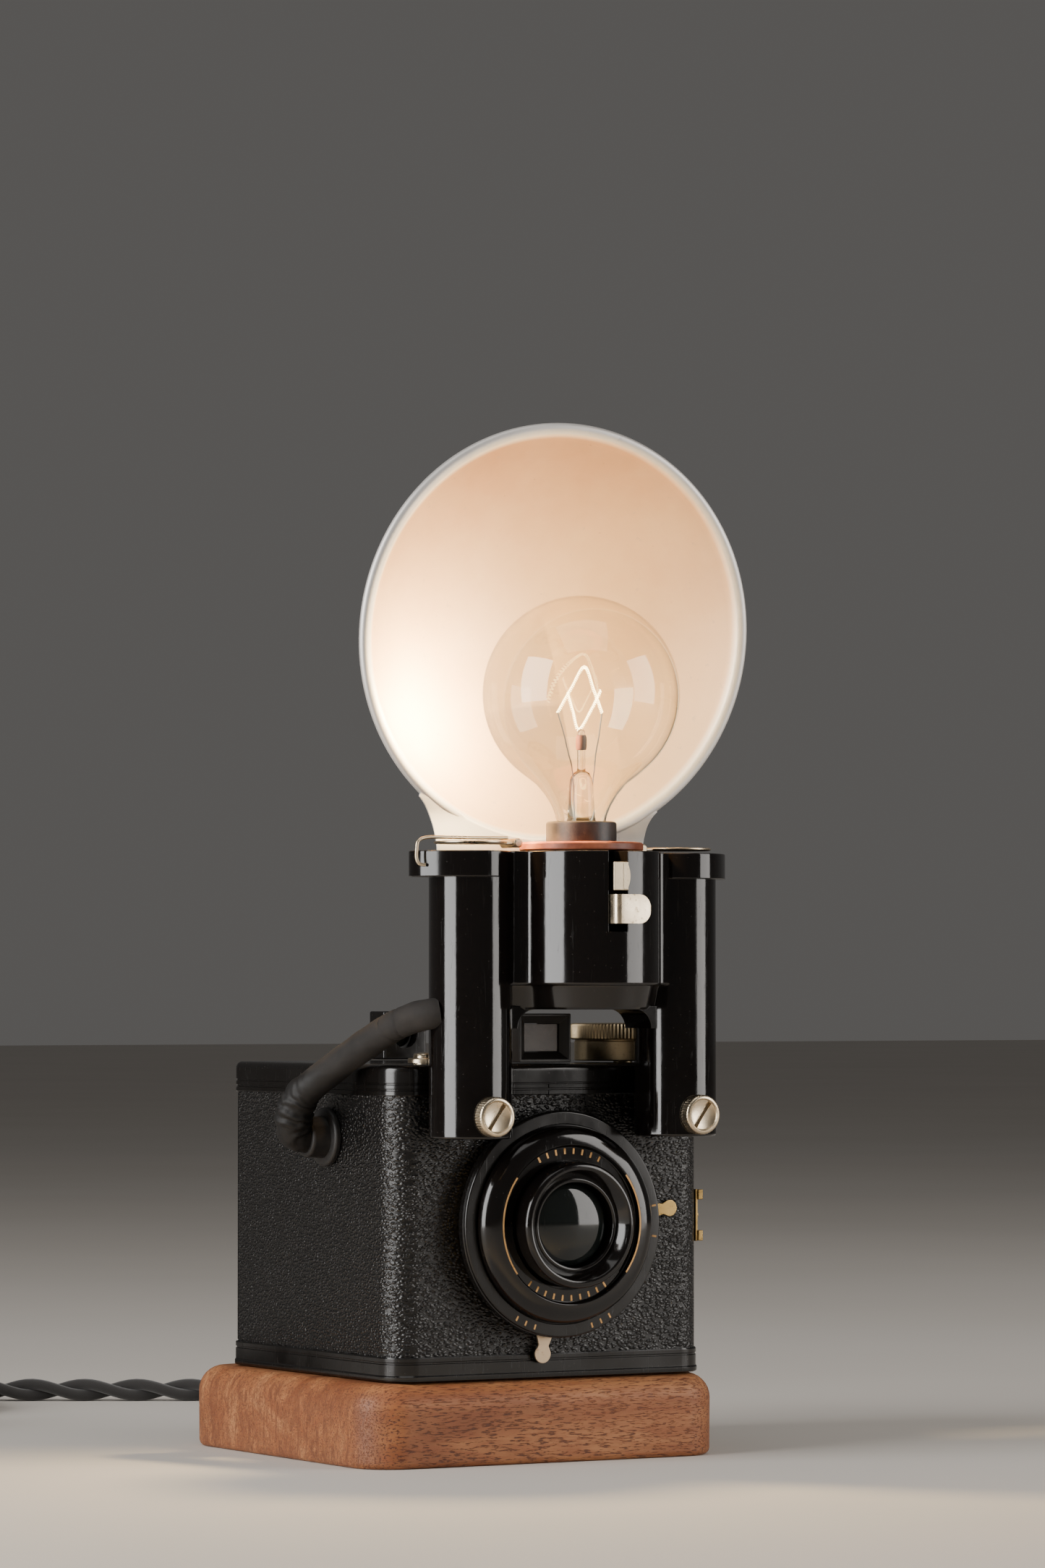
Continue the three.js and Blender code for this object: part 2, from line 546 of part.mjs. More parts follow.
function thumbScrews() {
  const face = -(TUBE.y - TUBE.radius) + GAP;
  const profile = [[0, -4.5], [1.9, -4.5], [1.9, face], [5.7, face], [6.2, face + 0.4], [6.2, face + 3.4],
    [5.8, face + 4], [5.2, face + 4.1], [4.9, face + 3.6], [0, face + 2.9]];
  for (const [name, x] of [['thumb_screw_left', -TUBE.x], ['thumb_screw_right', TUBE.x]]) {
    const screw = turnedForward(profile, x, SCREW_Z, 22);
    const level = box(-5.2, 5.2, -face - 9, -face - 2.1, -0.65, 0.65);
    const slot = level.rotate([0, -55, 0]).translate([x, 0, SCREW_Z]);
    place(name, screw.subtract(slot), NICKEL);
  }
}

// ---------------------------------------------------------------- socket, bulb and reflector

function socketAndBulb() {
  const { y, radius, bottom, top, bore } = SOCKET;
  const ring = [[radius + GAP, PLATE.bottom], [PLATE.radius, PLATE.bottom], [PLATE.radius, PLATE.top - 0.5],
    [PLATE.radius - 0.6, PLATE.top], [radius + GAP, PLATE.top]];
  place('fibre_plate', turned(ring, 0, y), FIBRE);
  const holder = [[0, bottom], [radius, bottom], [radius, top - 0.6], [radius - 0.6, top], [bore, top],
    [bore, bottom + 10], [0, bottom + 10]];
  place('lamp_socket', turned(holder, 0, y), RUBBER);

  const base = [[0, 175], [5, 175], [7.2, 178], [7.6, 179], [7.6, BULB.bottom - GAP], [0, BULB.bottom - GAP]];
  place('bulb_base', turned(base, 0, y, 0, 28), BRASS);
  place('bulb_glass', bulbGlass(), GLASS);
  const stem = [
    [0, 197.3], [5.6, 197.3], [4.5, 201], [4, 212], [3.4, 215.5], [1.3, 217], [1.3, 227], [0, 228],
  ];
  place('bulb_stem', turned(stem, 0, y, 0, 16), GLASS);
  filament();
}

// A blown globe on a short neck, hollow all the way up from the open bottom of the neck.
function bulbGlass() {
  const { z, radius, neck, bottom, glass } = BULB;
  const wall = (shrink) => [
    [neck - shrink, bottom],
    ...arc(neck - shrink + 22, 201.4, 22, 16, 180, 145.3, 2),
    ...arc(0, z, radius - shrink, radius - shrink, -52, 90, 8),
  ];
  return turned([...wall(0), ...wall(glass).reverse()], 0, SOCKET.y, 0, 24);
}

function filament() {
  const y = SOCKET.y;
  const front = [
    [-4.7, y - 2.5, 216.2], [-7, y - 4, 221], [-9.5, y - 5.5, 227], [-12, y - 6, 233.5],
    [-7.5, y - 6.5, 241], [-3, y - 7, 247.8], [1.5, y - 5, 241], [6, y - 2.5, 234],
    [5.6, y - 1.4, 227], [4.9, y - 0.5, 221], [4.7, y, 216.2],
  ];
  place('filament', bar(front, 0.4, 5, 30, 0.1), FILAMENT);
  const back = [
    [-1.5, y + 6, 240.5], [0.8, y + 6.5, 234.6], [3.2, y + 7, 229], [7, y + 6, 235], [9.8, y + 4.5, 241.5],
  ];
  place('filament_loop', bar(back, 0.4, 5, 12, 0.1), FILAMENT);
}

// Pressed dish with a rolled edge, facing forwards, and the flat tongue that holds it.
function reflector() {
  const { z, y, lip, depth, sheet, nod, turn } = DISH;
  const hollow = (r) => -depth * (1 - (r / lip) ** 2);
  const stations = [0, 16, 30, 42, 54];
  const inside = stations.map((r) => [r, hollow(r)]);
  const bead = arc(lip + 2.2, -0.6, 2.2, 2.2, 170, -30, 5);
  const outside = [...stations].reverse().map((r) => [r, hollow(r) - sheet]);
  const underBead = [lip + 0.6, -sheet - 1.6];
  const aim = (piece) => piece.rotate([nod, 0, 0]).rotate([0, 0, -turn]).translate([0, y, z]);
  const dish = aim(turnedForward([...inside, ...bead, underBead, ...outside], 0, 0, 36));
  const mouth = aim(turnedForward([...inside, [lip, 0.4], [lip, 60], [0, 60]], 0, 0, 36));
  place('reflector', join(dish, reflectorNeck().subtract(mouth)), ALUMINIUM);
  place('reflector_channel', reflectorChannel(), STEEL);
}

// Flat sheet: a wide neck under the dish narrowing to the tongue that slides into the holder.
function reflectorNeck() {
  const { half, bottom, y, thick } = TONGUE;
  const neck = { half: 38, bottom: 184, flareFrom: 197, topHalf: 42.5, top: 206 };
  const shape = new THREE.Shape();
  shape.moveTo(-half, bottom);
  shape.lineTo(half, bottom);
  shape.lineTo(half, neck.bottom);
  shape.lineTo(neck.half, neck.bottom);
  shape.lineTo(neck.half, neck.flareFrom);
  shape.quadraticCurveTo(neck.half + 0.5, 202, neck.topHalf, neck.top);
  shape.lineTo(-neck.topHalf, neck.top);
  shape.quadraticCurveTo(-neck.half - 0.5, 202, -neck.half, neck.flareFrom);
  shape.lineTo(-neck.half, neck.bottom);
  shape.lineTo(-half, neck.bottom);
  return extrude(shape, 0, thick, 4).rotate([90, 0, 0]).translate([0, y + thick, 0]);
}

// The steel guide behind the drum that grips both edges of the tongue.
function reflectorChannel() {
  const inner = TONGUE.half + 0.5;
  const outer = inner + 2;
  const back = TONGUE.y + TONGUE.thick;
  const rear = back + 1.6;
  const [low, high] = [154, 178];
  return join(
    box(-outer, outer, GAP - 0.5, TONGUE.y - GAP, low, high),
    box(-outer, -inner, 0, rear, low, high),
    box(inner, outer, 0, rear, low, high),
    box(-outer, 4 - inner, back + GAP, rear, low, high),
    box(inner - 4, outer, back + GAP, rear, low, high),
  );
}

// ---------------------------------------------------------------- wiring

function wiring() {
  const wall = -BODY.half;
  const { y, z, radius } = SIDE_PORT;
  const flangeRing = cut(postX(y, z, radius, wall - 2.2, wall - GAP), postX(y, z, 5, wall - 3, wall + 1));
  const spigot = cut(postX(y, z, 5, wall - 2.2, wall + 4), postX(y, z, 3.2, wall - 3, wall + 5, 16));
  place('side_grommet', join(flangeRing, spigot), RUBBER);

  const stub = [[wall - 2.5, y, z], [wall - 8, y, z], [-68.5, y - 0.4, z + 1.6]];
  const climb = [
    [-69.8, y - 3, z + 8], [-68.6, 36, 115.4], [-65, 27, 121.8], [-60, 14, 129.8],
    [-55.8, 1.5, 136.2], [-53.2, -7.5, 139.1], [-50.9, -12.4, 140.1], [-47.5, TUBE.y - 0.6, 140.7],
  ];
  const route = [...stub, ...climb];
  const outerTube = bar(route, SLEEVE_RADIUS, 12, 24);
  const nearHolder = postZ(-TUBE.x, TUBE.y, TUBE.radius + GAP, TUBE.radius + GAP, 120, 160, SMOOTH);
  const hollow = bar(route, 3, 8, 24);
  const open = join(hollow, postX(y, z, 2.7, wall - 4, wall, 10));
  place('wire_sleeve', cut(outerTube, nearHolder, open), RUBBER);

  const hole = LEAD_HOLE;
  const insideCamera = [
    [hole.x, hole.y, 15], [hole.x, hole.y, 24], [hole.x - 1.5, hole.y - 0.5, 31],
    [hole.x - 9, hole.y - 3, 33.5], [0, y + 6, 33.5], [-36, y + 2, 33.5], [-46, y, 37],
    [-48.5, y, 46], [-48.5, y, 90], [-49.2, y, 97.5], [-52, y, z - 0.6], [-55, y, z],
  ];
  const toSocket = [
    [-43.6, TUBE.y - 1, 144], [-41.4, TUBE.y - 1, 149], [-38, -15.2, 154], [-31, -16, 156], [-9, -16, 156],
  ];
  place('inner_lead', bar([...insideCamera, ...route, ...toSocket], 1.7, 6, 60), CLOTH);
}

// ---------------------------------------------------------------- mains cord and plug

function mainsCord() {
  const { exitX, exitZ, relief, diameter } = CORD;
  const radius = diameter / 2;
  const back = BASE.back + GAP;
  const cone = new THREE.CylinderGeometry(4.4, 6.4, relief, ROUND);
  const sleeve = cone.translate(exitX, back + relief / 2, exitZ);
  place('strain_relief', solid(sleeve), RUBBER, cordGroup);

  // Out of the base, down to the table, round to the left and away to the coil.
  const route = [
    [40, back + relief + GAP, exitZ], [40.2, 163, 12], [41.2, 178, 8.5], [43.2, 193, 5], [45.6, 208, 4.1],
    [47.6, 222, radius], [48.7, 237, radius], [49, 252.2, radius], [47.4, 264.7, radius],
    [42.5, 276.3, radius], [34.9, 286.3, radius], [24.9, 293.9, radius], [10, 302.5, radius],
    [-6, 311.7, radius], [-22, 321, radius], [-37.4, 329.9, radius], [-51, 337.8, radius],
    [-64.2, 345.4, radius],
  ];
  place('cord_run', bar(route, radius, 10, 24), CLOTH, cordGroup);

  const { x, y, inner, outer, height, leaves } = COIL;
  const coilProfile = [[inner, 0], [outer, 0], [outer, height], [inner, height]];
  place('cord_coil', turned(coilProfile, x, y, 0, 32), CLOTH, cordGroup);
  plugAndTail(x, y, outer - radius, height - radius, leaves * DEG);
}

// The free end leaves the outer top turn at a tangent and runs level into the plug.
function plugAndTail(x, y, turnRadius, turnHeight, leaves) {
  const { axisZ, rear, front, length, bladeGap } = PLUG;
  const clear = Math.sqrt(COIL.outer ** 2 - (turnRadius - CORD.diameter / 2) ** 2) + GAP;
  const start = [x + turnRadius * Math.cos(leaves), y + turnRadius * Math.sin(leaves)];
  const along = (distance, z) => [
    start[0] - distance * Math.sin(leaves), start[1] + distance * Math.cos(leaves), z,
  ];
  const plugStart = clear + 18;
  const tail = [along(clear, turnHeight), along(clear + 6, turnHeight + 0.5), along(clear + 12, axisZ),
    along(plugStart - GAP, axisZ)];
  place('cord_tail', bar(tail, CORD.diameter / 2, 10, 4), CLOTH, cordGroup);

  const profile = [
    [0, 0], [rear, 0], [rear + 1, 8], [rear + 2.5, 13], [front - 1, 21], [front, 23],
    [front, length - 1.5], [front - 1.5, length], [0, length],
  ];
  const bell = turned(profile, 0, 0, 0, SMOOTH);
  const blade = box(-3.2, 3.2, -0.75, 0.75, length + GAP, length + 18);
  const lay = (piece) => {
    const level = piece.rotate([-90, 0, 0]).rotate([0, 0, leaves / DEG]);
    return level.translate(along(plugStart, axisZ));
  };
  place('plug_body', lay(bell), BAKELITE, cordGroup);
  place('plug_blade_left', lay(blade.rotate([0, 0, 90]).translate([-bladeGap / 2, 0, 0])), BRASS, cordGroup);
  place('plug_blade_right', lay(blade.rotate([0, 0, 90]).translate([bladeGap / 2, 0, 0])), BRASS, cordGroup);
}

woodenBase();
cameraBody();
backCover();
cameraInside();
lensGroup();
finder();
winder();
releaseButton();
flashHolder();
ejectorTabs();
tubeCaps();
thumbScrews();
socketAndBulb();
reflector();
wiring();
mainsCord();

// The origin is the bottom centre of the lamp without its cord.
const bounds = new THREE.Box3().setFromObject(lamp);
const centre = bounds.getCenter(new THREE.Vector3());
const part = new THREE.Group();
part.add(lamp, cordGroup);
part.position.set(-centre.x, -centre.y, 0);
part.updateMatrixWorld(true);

export default part;
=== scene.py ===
"""Table lamp made from a metal box camera and its clip-on flash holder.

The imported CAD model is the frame.  Every piece here is built in the same place and at the same size,
in millimetres, and is put into the frame by at().  X = 0 is the lens axis, Y = 0 the camera's front
wall (+Y is back) and Z = 0 the table.
"""

from math import atan2, cos, degrees, exp, hypot, pi, radians, sin, sqrt, tan

import bmesh
import bpy
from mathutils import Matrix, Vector, noise


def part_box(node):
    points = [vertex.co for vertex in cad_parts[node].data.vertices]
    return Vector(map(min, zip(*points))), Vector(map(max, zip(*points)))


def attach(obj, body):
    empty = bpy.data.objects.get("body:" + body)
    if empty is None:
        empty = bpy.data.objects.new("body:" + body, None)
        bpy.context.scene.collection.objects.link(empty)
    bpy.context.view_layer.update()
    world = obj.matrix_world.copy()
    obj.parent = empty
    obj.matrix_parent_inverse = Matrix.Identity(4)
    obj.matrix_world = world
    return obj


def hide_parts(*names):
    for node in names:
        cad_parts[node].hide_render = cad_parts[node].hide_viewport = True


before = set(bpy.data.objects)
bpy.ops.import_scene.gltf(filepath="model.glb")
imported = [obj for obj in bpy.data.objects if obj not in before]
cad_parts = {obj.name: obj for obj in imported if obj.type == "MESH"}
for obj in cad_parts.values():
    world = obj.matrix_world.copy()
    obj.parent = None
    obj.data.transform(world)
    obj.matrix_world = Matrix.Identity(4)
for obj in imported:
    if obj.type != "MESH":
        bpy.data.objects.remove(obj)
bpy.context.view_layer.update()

# ---- driving dimensions, mm

MM = 0.001
BASE = {"left": -67, "right": 61.5, "front": -5, "back": 122, "top": 26}
BASE_EDGE = {"corner": 14, "foot": 2, "shoulder": 8}
BODY = {"half": 56.5, "depth": 108, "front": 9, "rear": 4}
DECK = 124.85  # just above the camera's top
LENS_Z = 74.5
EYE_Z = 133  # the finder's eyepiece
BUTTON = {"x": -40, "y": 10}
HINGE = {"x": 58.4, "y": 108.6}
BOLT_Y = 45
LEAD_HOLE = {"x": 40, "y": 60}
GROMMET = {"y": 43, "z": 101.3}
TAPE_TOP = 123.5
TUBE = {"x": 37, "y": -13.9, "radius": 12.9, "bore": 10.5, "bottom": 101.8, "top": 190.5}
DRUM = {"y": -23.3, "radius": 22.3, "bottom": 149, "boss": 141.6, "inset": 2.4}
SCREW_Z = 108.7
SOCKET_Y = -18.6
BULB = {"z": 239.7, "radius": 30.8, "neck": 7.6}
DISH = {"y": -4, "z": 258.7, "lip": 64.6, "depth": 27, "sheet": 1.1, "nod": 6.7, "turn": 5.7}
KNOB = {"x": 37, "y": 18}
CORD = {"diameter": 8, "strand": 2.05, "apart": 3.9, "pitch": 38, "spacing": 2.5}
CORD_EXIT = {"x": 40, "z": 13}
PLUG = {"after_coil": 47, "axis_z": 13.4}
COIL = {"x": -115.5, "y": 315, "outer": 52, "step": 8, "leaves": 2000}

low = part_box("wood_base")[0]
SHIFT = Vector((low.x - BASE["left"] * MM, low.y - BASE["front"] * MM, 0))


def at(x, y, z):
    """A point in the frame, in metres, from design millimetres."""
    return Vector((x * MM, y * MM, z * MM)) + SHIFT


def add(name, data):
    """A new object in the scene."""
    made = bpy.data.objects.new(name, data)
    bpy.context.scene.collection.objects.link(made)
    return made


# ---- camera

HEADING = radians(30)
PITCH = radians(2.02)
EYE = (-916.8, -1569.9, 148.2)
FOCAL_PIXELS = 8000
PICTURE_HEIGHT = 2168


def make_camera():
    data = bpy.data.cameras.new("camera")
    data.lens = FOCAL_PIXELS / PICTURE_HEIGHT * data.sensor_width
    data.clip_start, data.clip_end = 0.05, 50
    camera = add("camera", data)
    camera.location = at(*EYE)
    camera.rotation_euler = (pi / 2 + PITCH, 0, -HEADING)
    bpy.context.scene.camera = camera


# ---- shapes: (points, faces) in mm


def loft(rings, ends=True, around=False):
    """A skin over rings of equal length; around joins the last ring to the first."""
    n = len(rings[0])
    points = [p for ring in rings for p in ring]
    faces = []
    for i in range(len(rings) if around else len(rings) - 1):
        a, b = i * n, ((i + 1) % len(rings)) * n
        for j in range(n):
            k = (j + 1) % n
            faces.append((a + j, a + k, b + k, b + j))
    if ends and not around:
        faces.append(tuple(range(n)))
        faces.append(tuple(range(len(points) - n, len(points))))
    return points, faces


def arc(cr, ch, rr, rh, start, stop, count):
    """Points along an arc of a circle or an ellipse, from one angle to another in degrees."""
    steps = [radians(start + (stop - start) * i / count) for i in range(count + 1)]
    return [(cr + rr * cos(t), ch + rh * sin(t)) for t in steps]


def quarter(count):
    """Angles over a quarter turn, for a rounded edge."""
    return [pi / 2 * i / count for i in range(count + 1)]


def eased(value, start, stop):
    """Runs smoothly from 0 to 1 as the value runs from start to stop."""
    t = min(max((value - start) / (stop - start), 0), 1)
    return t * t * (3 - 2 * t)


def turned(profile, x, y, z=0, sides=96, facing="up", ripple=None, closed=False):
    """A round piece.  The profile is (radius, height); facing is up, or front for the lens axis."""
    rings = []
    for r, h in profile:
        ring = []
        for i in range(sides):
            t = 2 * pi * i / sides
            radius = r + (ripple(t, r, h) if ripple else 0)
            u, v = radius * cos(t), radius * sin(t)
            ring.append((x + u, y + v, z + h) if facing == "up" else (x + u, y - h, z + v))
        rings.append(ring)
    return loft(rings, ends=False, around=closed)


def knurl(teeth, height, inner):
    """A ripple for turned(): teeth round the part of the piece that lies outside the inner radius."""
    return lambda t, r, h: height * (abs((t * teeth / pi) % 2 - 1) - 0.5) if r > inner else 0


def rounded(x0, x1, y0, y1, front, rear=None, inset=0, n=10):
    """Points round a rectangle with rounded corners, pulled in by inset."""
    rear = front if rear is None else rear
    corners = [(x1, y0, -90, front, -1, 1), (x1, y1, 0, rear, -1, -1), (x0, y1, 90, rear, 1, -1),
               (x0, y0, 180, front, 1, 1)]
    points = []
    for x, y, start, radius, sx, sy in corners:
        r = max(radius - inset, 0.05)
        cx, cy = x + sx * (r + inset), y + sy * (r + inset)
        for i in range(n + 1):
            t = radians(start + 90 * i / n)
            points.append((cx + r * cos(t), cy + r * sin(t)))
    return points


def inset_outline(outline, amount):
    """The outline moved inwards; it runs anticlockwise."""
    moved = []
    for i, point in enumerate(outline):
        p, a, b = Vector(point), Vector(outline[i - 1]), Vector(outline[(i + 1) % len(outline)])
        e, f = (p - a).normalized(), (b - p).normalized()
        inward = Vector((-e.y - f.y, e.x + f.x)) / max(1 + e.dot(f), 0.25)
        moved.append(tuple(p + inward * amount))
    return moved


def slab(outline, z0, z1, top=0.0, bottom=0.0, steps=4, put=None):
    """An outline raised from z0 to z1 with rounded edges.  put turns (u, v, w) into (x, y, z)."""
    put = put or (lambda u, v, w: (u, v, w))
    levels = [(0, z0)]
    if bottom:
        levels = [(bottom * (1 - sin(t)), z0 + bottom * (1 - cos(t))) for t in quarter(steps)]
    if top:
        levels += [(top * (1 - cos(t)), z1 - top * (1 - sin(t))) for t in quarter(steps)]
    else:
        levels.append((0, z1))
    return loft([[put(u, v, w) for u, v in inset_outline(outline, d)] for d, w in levels])


def block(x0, x1, y0, y1, z0, z1, edge=0.3):
    """A box with small rounded edges."""
    return slab(rounded(x0, x1, y0, y1, max(edge, 0.06), n=3), z0, z1, edge, edge, 3)


def lens_ring(profile, sides=160, closed=True):
    """A hollow ring about the lens axis, or a solid disc when it isn't closed."""
    return turned(profile, 0, 0, LENS_Z, sides, "front", closed=closed)


def post(x, y, radius, z0, z1, sides=64):
    return turned([(0, z0), (radius, z0), (radius, z1), (0, z1)], x, y, 0, sides)


def rod_y(x, z, radius, y0, y1, sides=48):
    return turned([(0, -y1), (radius, -y1), (radius, -y0), (0, -y0)], x, 0, z, sides, "front")


def rod_x(y, z, radius, x0, x1, sides=48):
    ring = [(radius * cos(2 * pi * i / sides), radius * sin(2 * pi * i / sides))
            for i in range(sides)]
    return loft([[(x, y + u, z + v) for u, v in ring] for x in (x0, x1)])


def smooth_line(points, spacing):
    """A Catmull-Rom line through the points, as vectors about spacing apart."""
    p = [Vector(q) for q in points]
    p = [2 * p[0] - p[1], *p, 2 * p[-1] - p[-2]]
    line = []
    for i in range(1, len(p) - 2):
        count = max(2, round((p[i + 1] - p[i]).length / spacing))
        for j in range(count):
            t = j / count
            line.append(0.5 * (2 * p[i] + (p[i + 1] - p[i - 1]) * t
                               + (2 * p[i - 1] - 5 * p[i] + 4 * p[i + 1] - p[i + 2]) * t * t
                               + (3 * p[i] - p[i - 1] - 3 * p[i + 1] + p[i + 2]) * t ** 3))
    return [*line, p[-2]]


def frames(line):
    """Each point with its distance along the line and two side vectors, turned as little as possible."""
    up, side = Vector((0, 0, 1)), None
    travelled = 0.0
    stations = []
    for i, point in enumerate(line):
        travelled += (point - line[i - 1]).length if i else 0
        ahead = (line[min(i + 1, len(line) - 1)] - line[max(i - 1, 0)]).normalized()
        start = side
        if side is None:
            start = up.cross(ahead) if abs(ahead.dot(up)) < 0.95 else Vector((1, 0, 0))
        side = (start - ahead * start.dot(ahead)).normalized()
        stations.append((point, travelled, side, ahead.cross(side).normalized()))
    return stations


def beside(point, u, v, angle, radius):
    """The point at an angle and a radius round a station of a line."""
    return point + (u * cos(angle) + v * sin(angle)) * radius


def helix(line, pitch, radius, phase=0.0):
    """A line wound round another; radius is a number, or a function of the point."""
    wound = []
    for point, travelled, u, v in frames(line):
        reach = radius(point) if callable(radius) else radius
        wound.append(beside(point, u, v, 2 * pi * travelled / pitch + phase, reach))
    return wound


def tube(line, radius, sides):
    """A round bar along a line.  radius is a number, or a function of (distance, angle)."""
    angles = [2 * pi * j / sides for j in range(sides)]
    rings = []
    for point, travelled, u, v in frames(line):
        radii = [radius(travelled, t) if callable(radius) else radius for t in angles]
        rings.append([tuple(beside(point, u, v, t, r)) for t, r in zip(angles, radii)])
    return loft(rings)


# ---- pieces


def solid(name, *shapes):
    """One object made of the shapes, which are given in design millimetres."""
    mesh = bpy.data.meshes.new(name)
    work = bmesh.new()
    for points, faces in shapes:
        made = [work.verts.new(at(*p)) for p in points]
        for face in faces:
            work.faces.new([made[i] for i in face])
    bmesh.ops.remove_doubles(work, verts=work.verts, dist=1e-6)
    bmesh.ops.recalc_face_normals(work, faces=work.faces)
    work.to_mesh(mesh)
    work.free()
    return add(name, mesh)


def combine(piece, operation, *shapes):
    """Joins the shapes to the piece, or cuts them out of it, one at a time."""
    for shape in shapes:
        tool = solid("tool", shape)
        modifier = piece.modifiers.new("combine", "BOOLEAN")
        modifier.operation, modifier.object, modifier.solver = operation, tool, "MANIFOLD"
        graph = bpy.context.evaluated_depsgraph_get()
        mesh = bpy.data.meshes.new_from_object(piece.evaluated_get(graph))
        piece.modifiers.clear()
        piece.data = mesh
        bpy.data.objects.remove(tool)
    return piece


def cut(piece, *shapes):
    return combine(piece, "DIFFERENCE", *shapes)


def finish(piece, paint, *nodes, body="lamp_body", sharp=32, slot=None):
    """Smooths the piece, gives it its material and body, and lets it stand for its CAD nodes."""
    for face in piece.data.polygons:
        face.use_smooth = True
    piece.data.set_sharp_from_angle(angle=radians(sharp))
    if sharp <= 50:
        piece.modifiers.new("large_faces_lead", "WEIGHTED_NORMAL").keep_sharp = True
    piece.data.materials.clear()
    piece.data.materials.append(paint)
    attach(piece, body)
    if nodes:
        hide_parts(*nodes)
    return piece


# ---- materials


def rgb(text):
    """A colour given as sRGB hex, as the linear values that shaders use."""
    values = [int(text[i:i + 2], 16) / 255 for i in (1, 3, 5)]
    return (*[v / 12.92 if v <= 0.04045 else ((v + 0.055) / 1.055) ** 2.4 for v in values], 1)


class Paint:
    """A material that is built node by node.  Its noise is laid out in the frame, in metres.

    A value given to a node is a number, a colour as hex text, or the output of another node.
    """

    def __init__(self, name):
        self.material = bpy.data.materials.new(name)
        self.material.use_nodes = True
        self.tree = self.material.node_tree
        self.tree.nodes.clear()
        self.output = self.node("ShaderNodeOutputMaterial")
        self.where = self.node("ShaderNodeTexCoord").outputs["Object"]

    def node(self, kind, links=None, **settings):
        made = self.tree.nodes.new(kind)
        for key, value in settings.items():
            setattr(made, key, value)
        for socket, value in (links or {}).items():
            if isinstance(value, bpy.types.NodeSocket):
                self.tree.links.new(value, made.inputs[socket])
            else:
                made.inputs[socket].default_value = rgb(value) if isinstance(value, str) else value
        return made

    def stretched(self, x, y, z):
        return self.node("ShaderNodeMapping", {"Vector": self.where, "Scale": (x, y, z)}).outputs[0]

    def noise(self, scale, detail=3.0, roughness=0.5, where=None, distortion=0.0):
        return self.node("ShaderNodeTexNoise", {
            "Vector": where or self.where, "Scale": scale, "Detail": detail, "Roughness": roughness,
            "Distortion": distortion}).outputs["Fac"]

    def cells(self, scale, where=None, feature="F1", smooth=0.0):
        links = {"Vector": where or self.where, "Scale": scale}
        if feature == "SMOOTH_F1":
            links["Smoothness"] = smooth
        return self.node("ShaderNodeTexVoronoi", links, feature=feature).outputs["Distance"]

    def ramp(self, factor, *stops):
        made = self.node("ShaderNodeValToRGB", {"Fac": factor})
        for i, (position, colour) in enumerate(stops):
            element = made.color_ramp.elements[i] if i < 2 else made.color_ramp.elements.new(position)
            element.position = position
            element.color = rgb(colour) if isinstance(colour, str) else (colour, colour, colour, 1)
        return made.outputs["Color"]

    def span(self, factor, low, high, start=0.0, stop=1.0):
        """A number that runs from low to high as factor runs from start to stop."""
        return self.node("ShaderNodeMapRange", {
            "Value": factor, "From Min": start, "From Max": stop, "To Min": low, "To Max": high}).outputs[0]

    def mask(self, factor, start, stop):
        """Runs from 0 to 1 as factor runs from start to stop."""
        return self.span(factor, 0.0, 1.0, start, stop)

    def math(self, operation, a, b=0.0):
        return self.node("ShaderNodeMath", {0: a, 1: b}, operation=operation).outputs[0]

    def times(self, a, b):
        return self.math("MULTIPLY", a, b)

    def plus(self, a, b):
        return self.math("ADD", a, b)

    def mix(self, factor, a, b):
        return self.node("ShaderNodeMix", {0: factor, 6: a, 7: b}, data_type="RGBA").outputs[2]

    def vector(self, operation, *values):
        return self.node("ShaderNodeVectorMath", dict(enumerate(values)), operation=operation).outputs[0]

    def part(self, vector, axis):
        return self.node("ShaderNodeSeparateXYZ", {0: vector}).outputs[axis]

    def facing(self, axis):
        """How far the surface faces along X, Y or Z, from -1 to 1."""
        return self.part(self.node("ShaderNodeNewGeometry").outputs["Normal"], axis)

    def bump(self, height, depth, strength=1.0, normal=None):
        links = {"Height": height, "Distance": depth * MM, "Strength": strength}
        if normal:
            links["Normal"] = normal
        return self.node("ShaderNodeBump", links).outputs[0]

    def round_edges(self, radius):
        return self.node("ShaderNodeBevel", {"Radius": radius * MM}, samples=4).outputs[0]

    def surface(self, **sockets):
        names = {k.replace("_", " ").title().replace("Ior", "IOR"): v for k, v in sockets.items()}
        shader = self.node("ShaderNodeBsdfPrincipled", names)
        self.tree.links.new(shader.outputs[0], self.output.inputs[0])
        return self.material


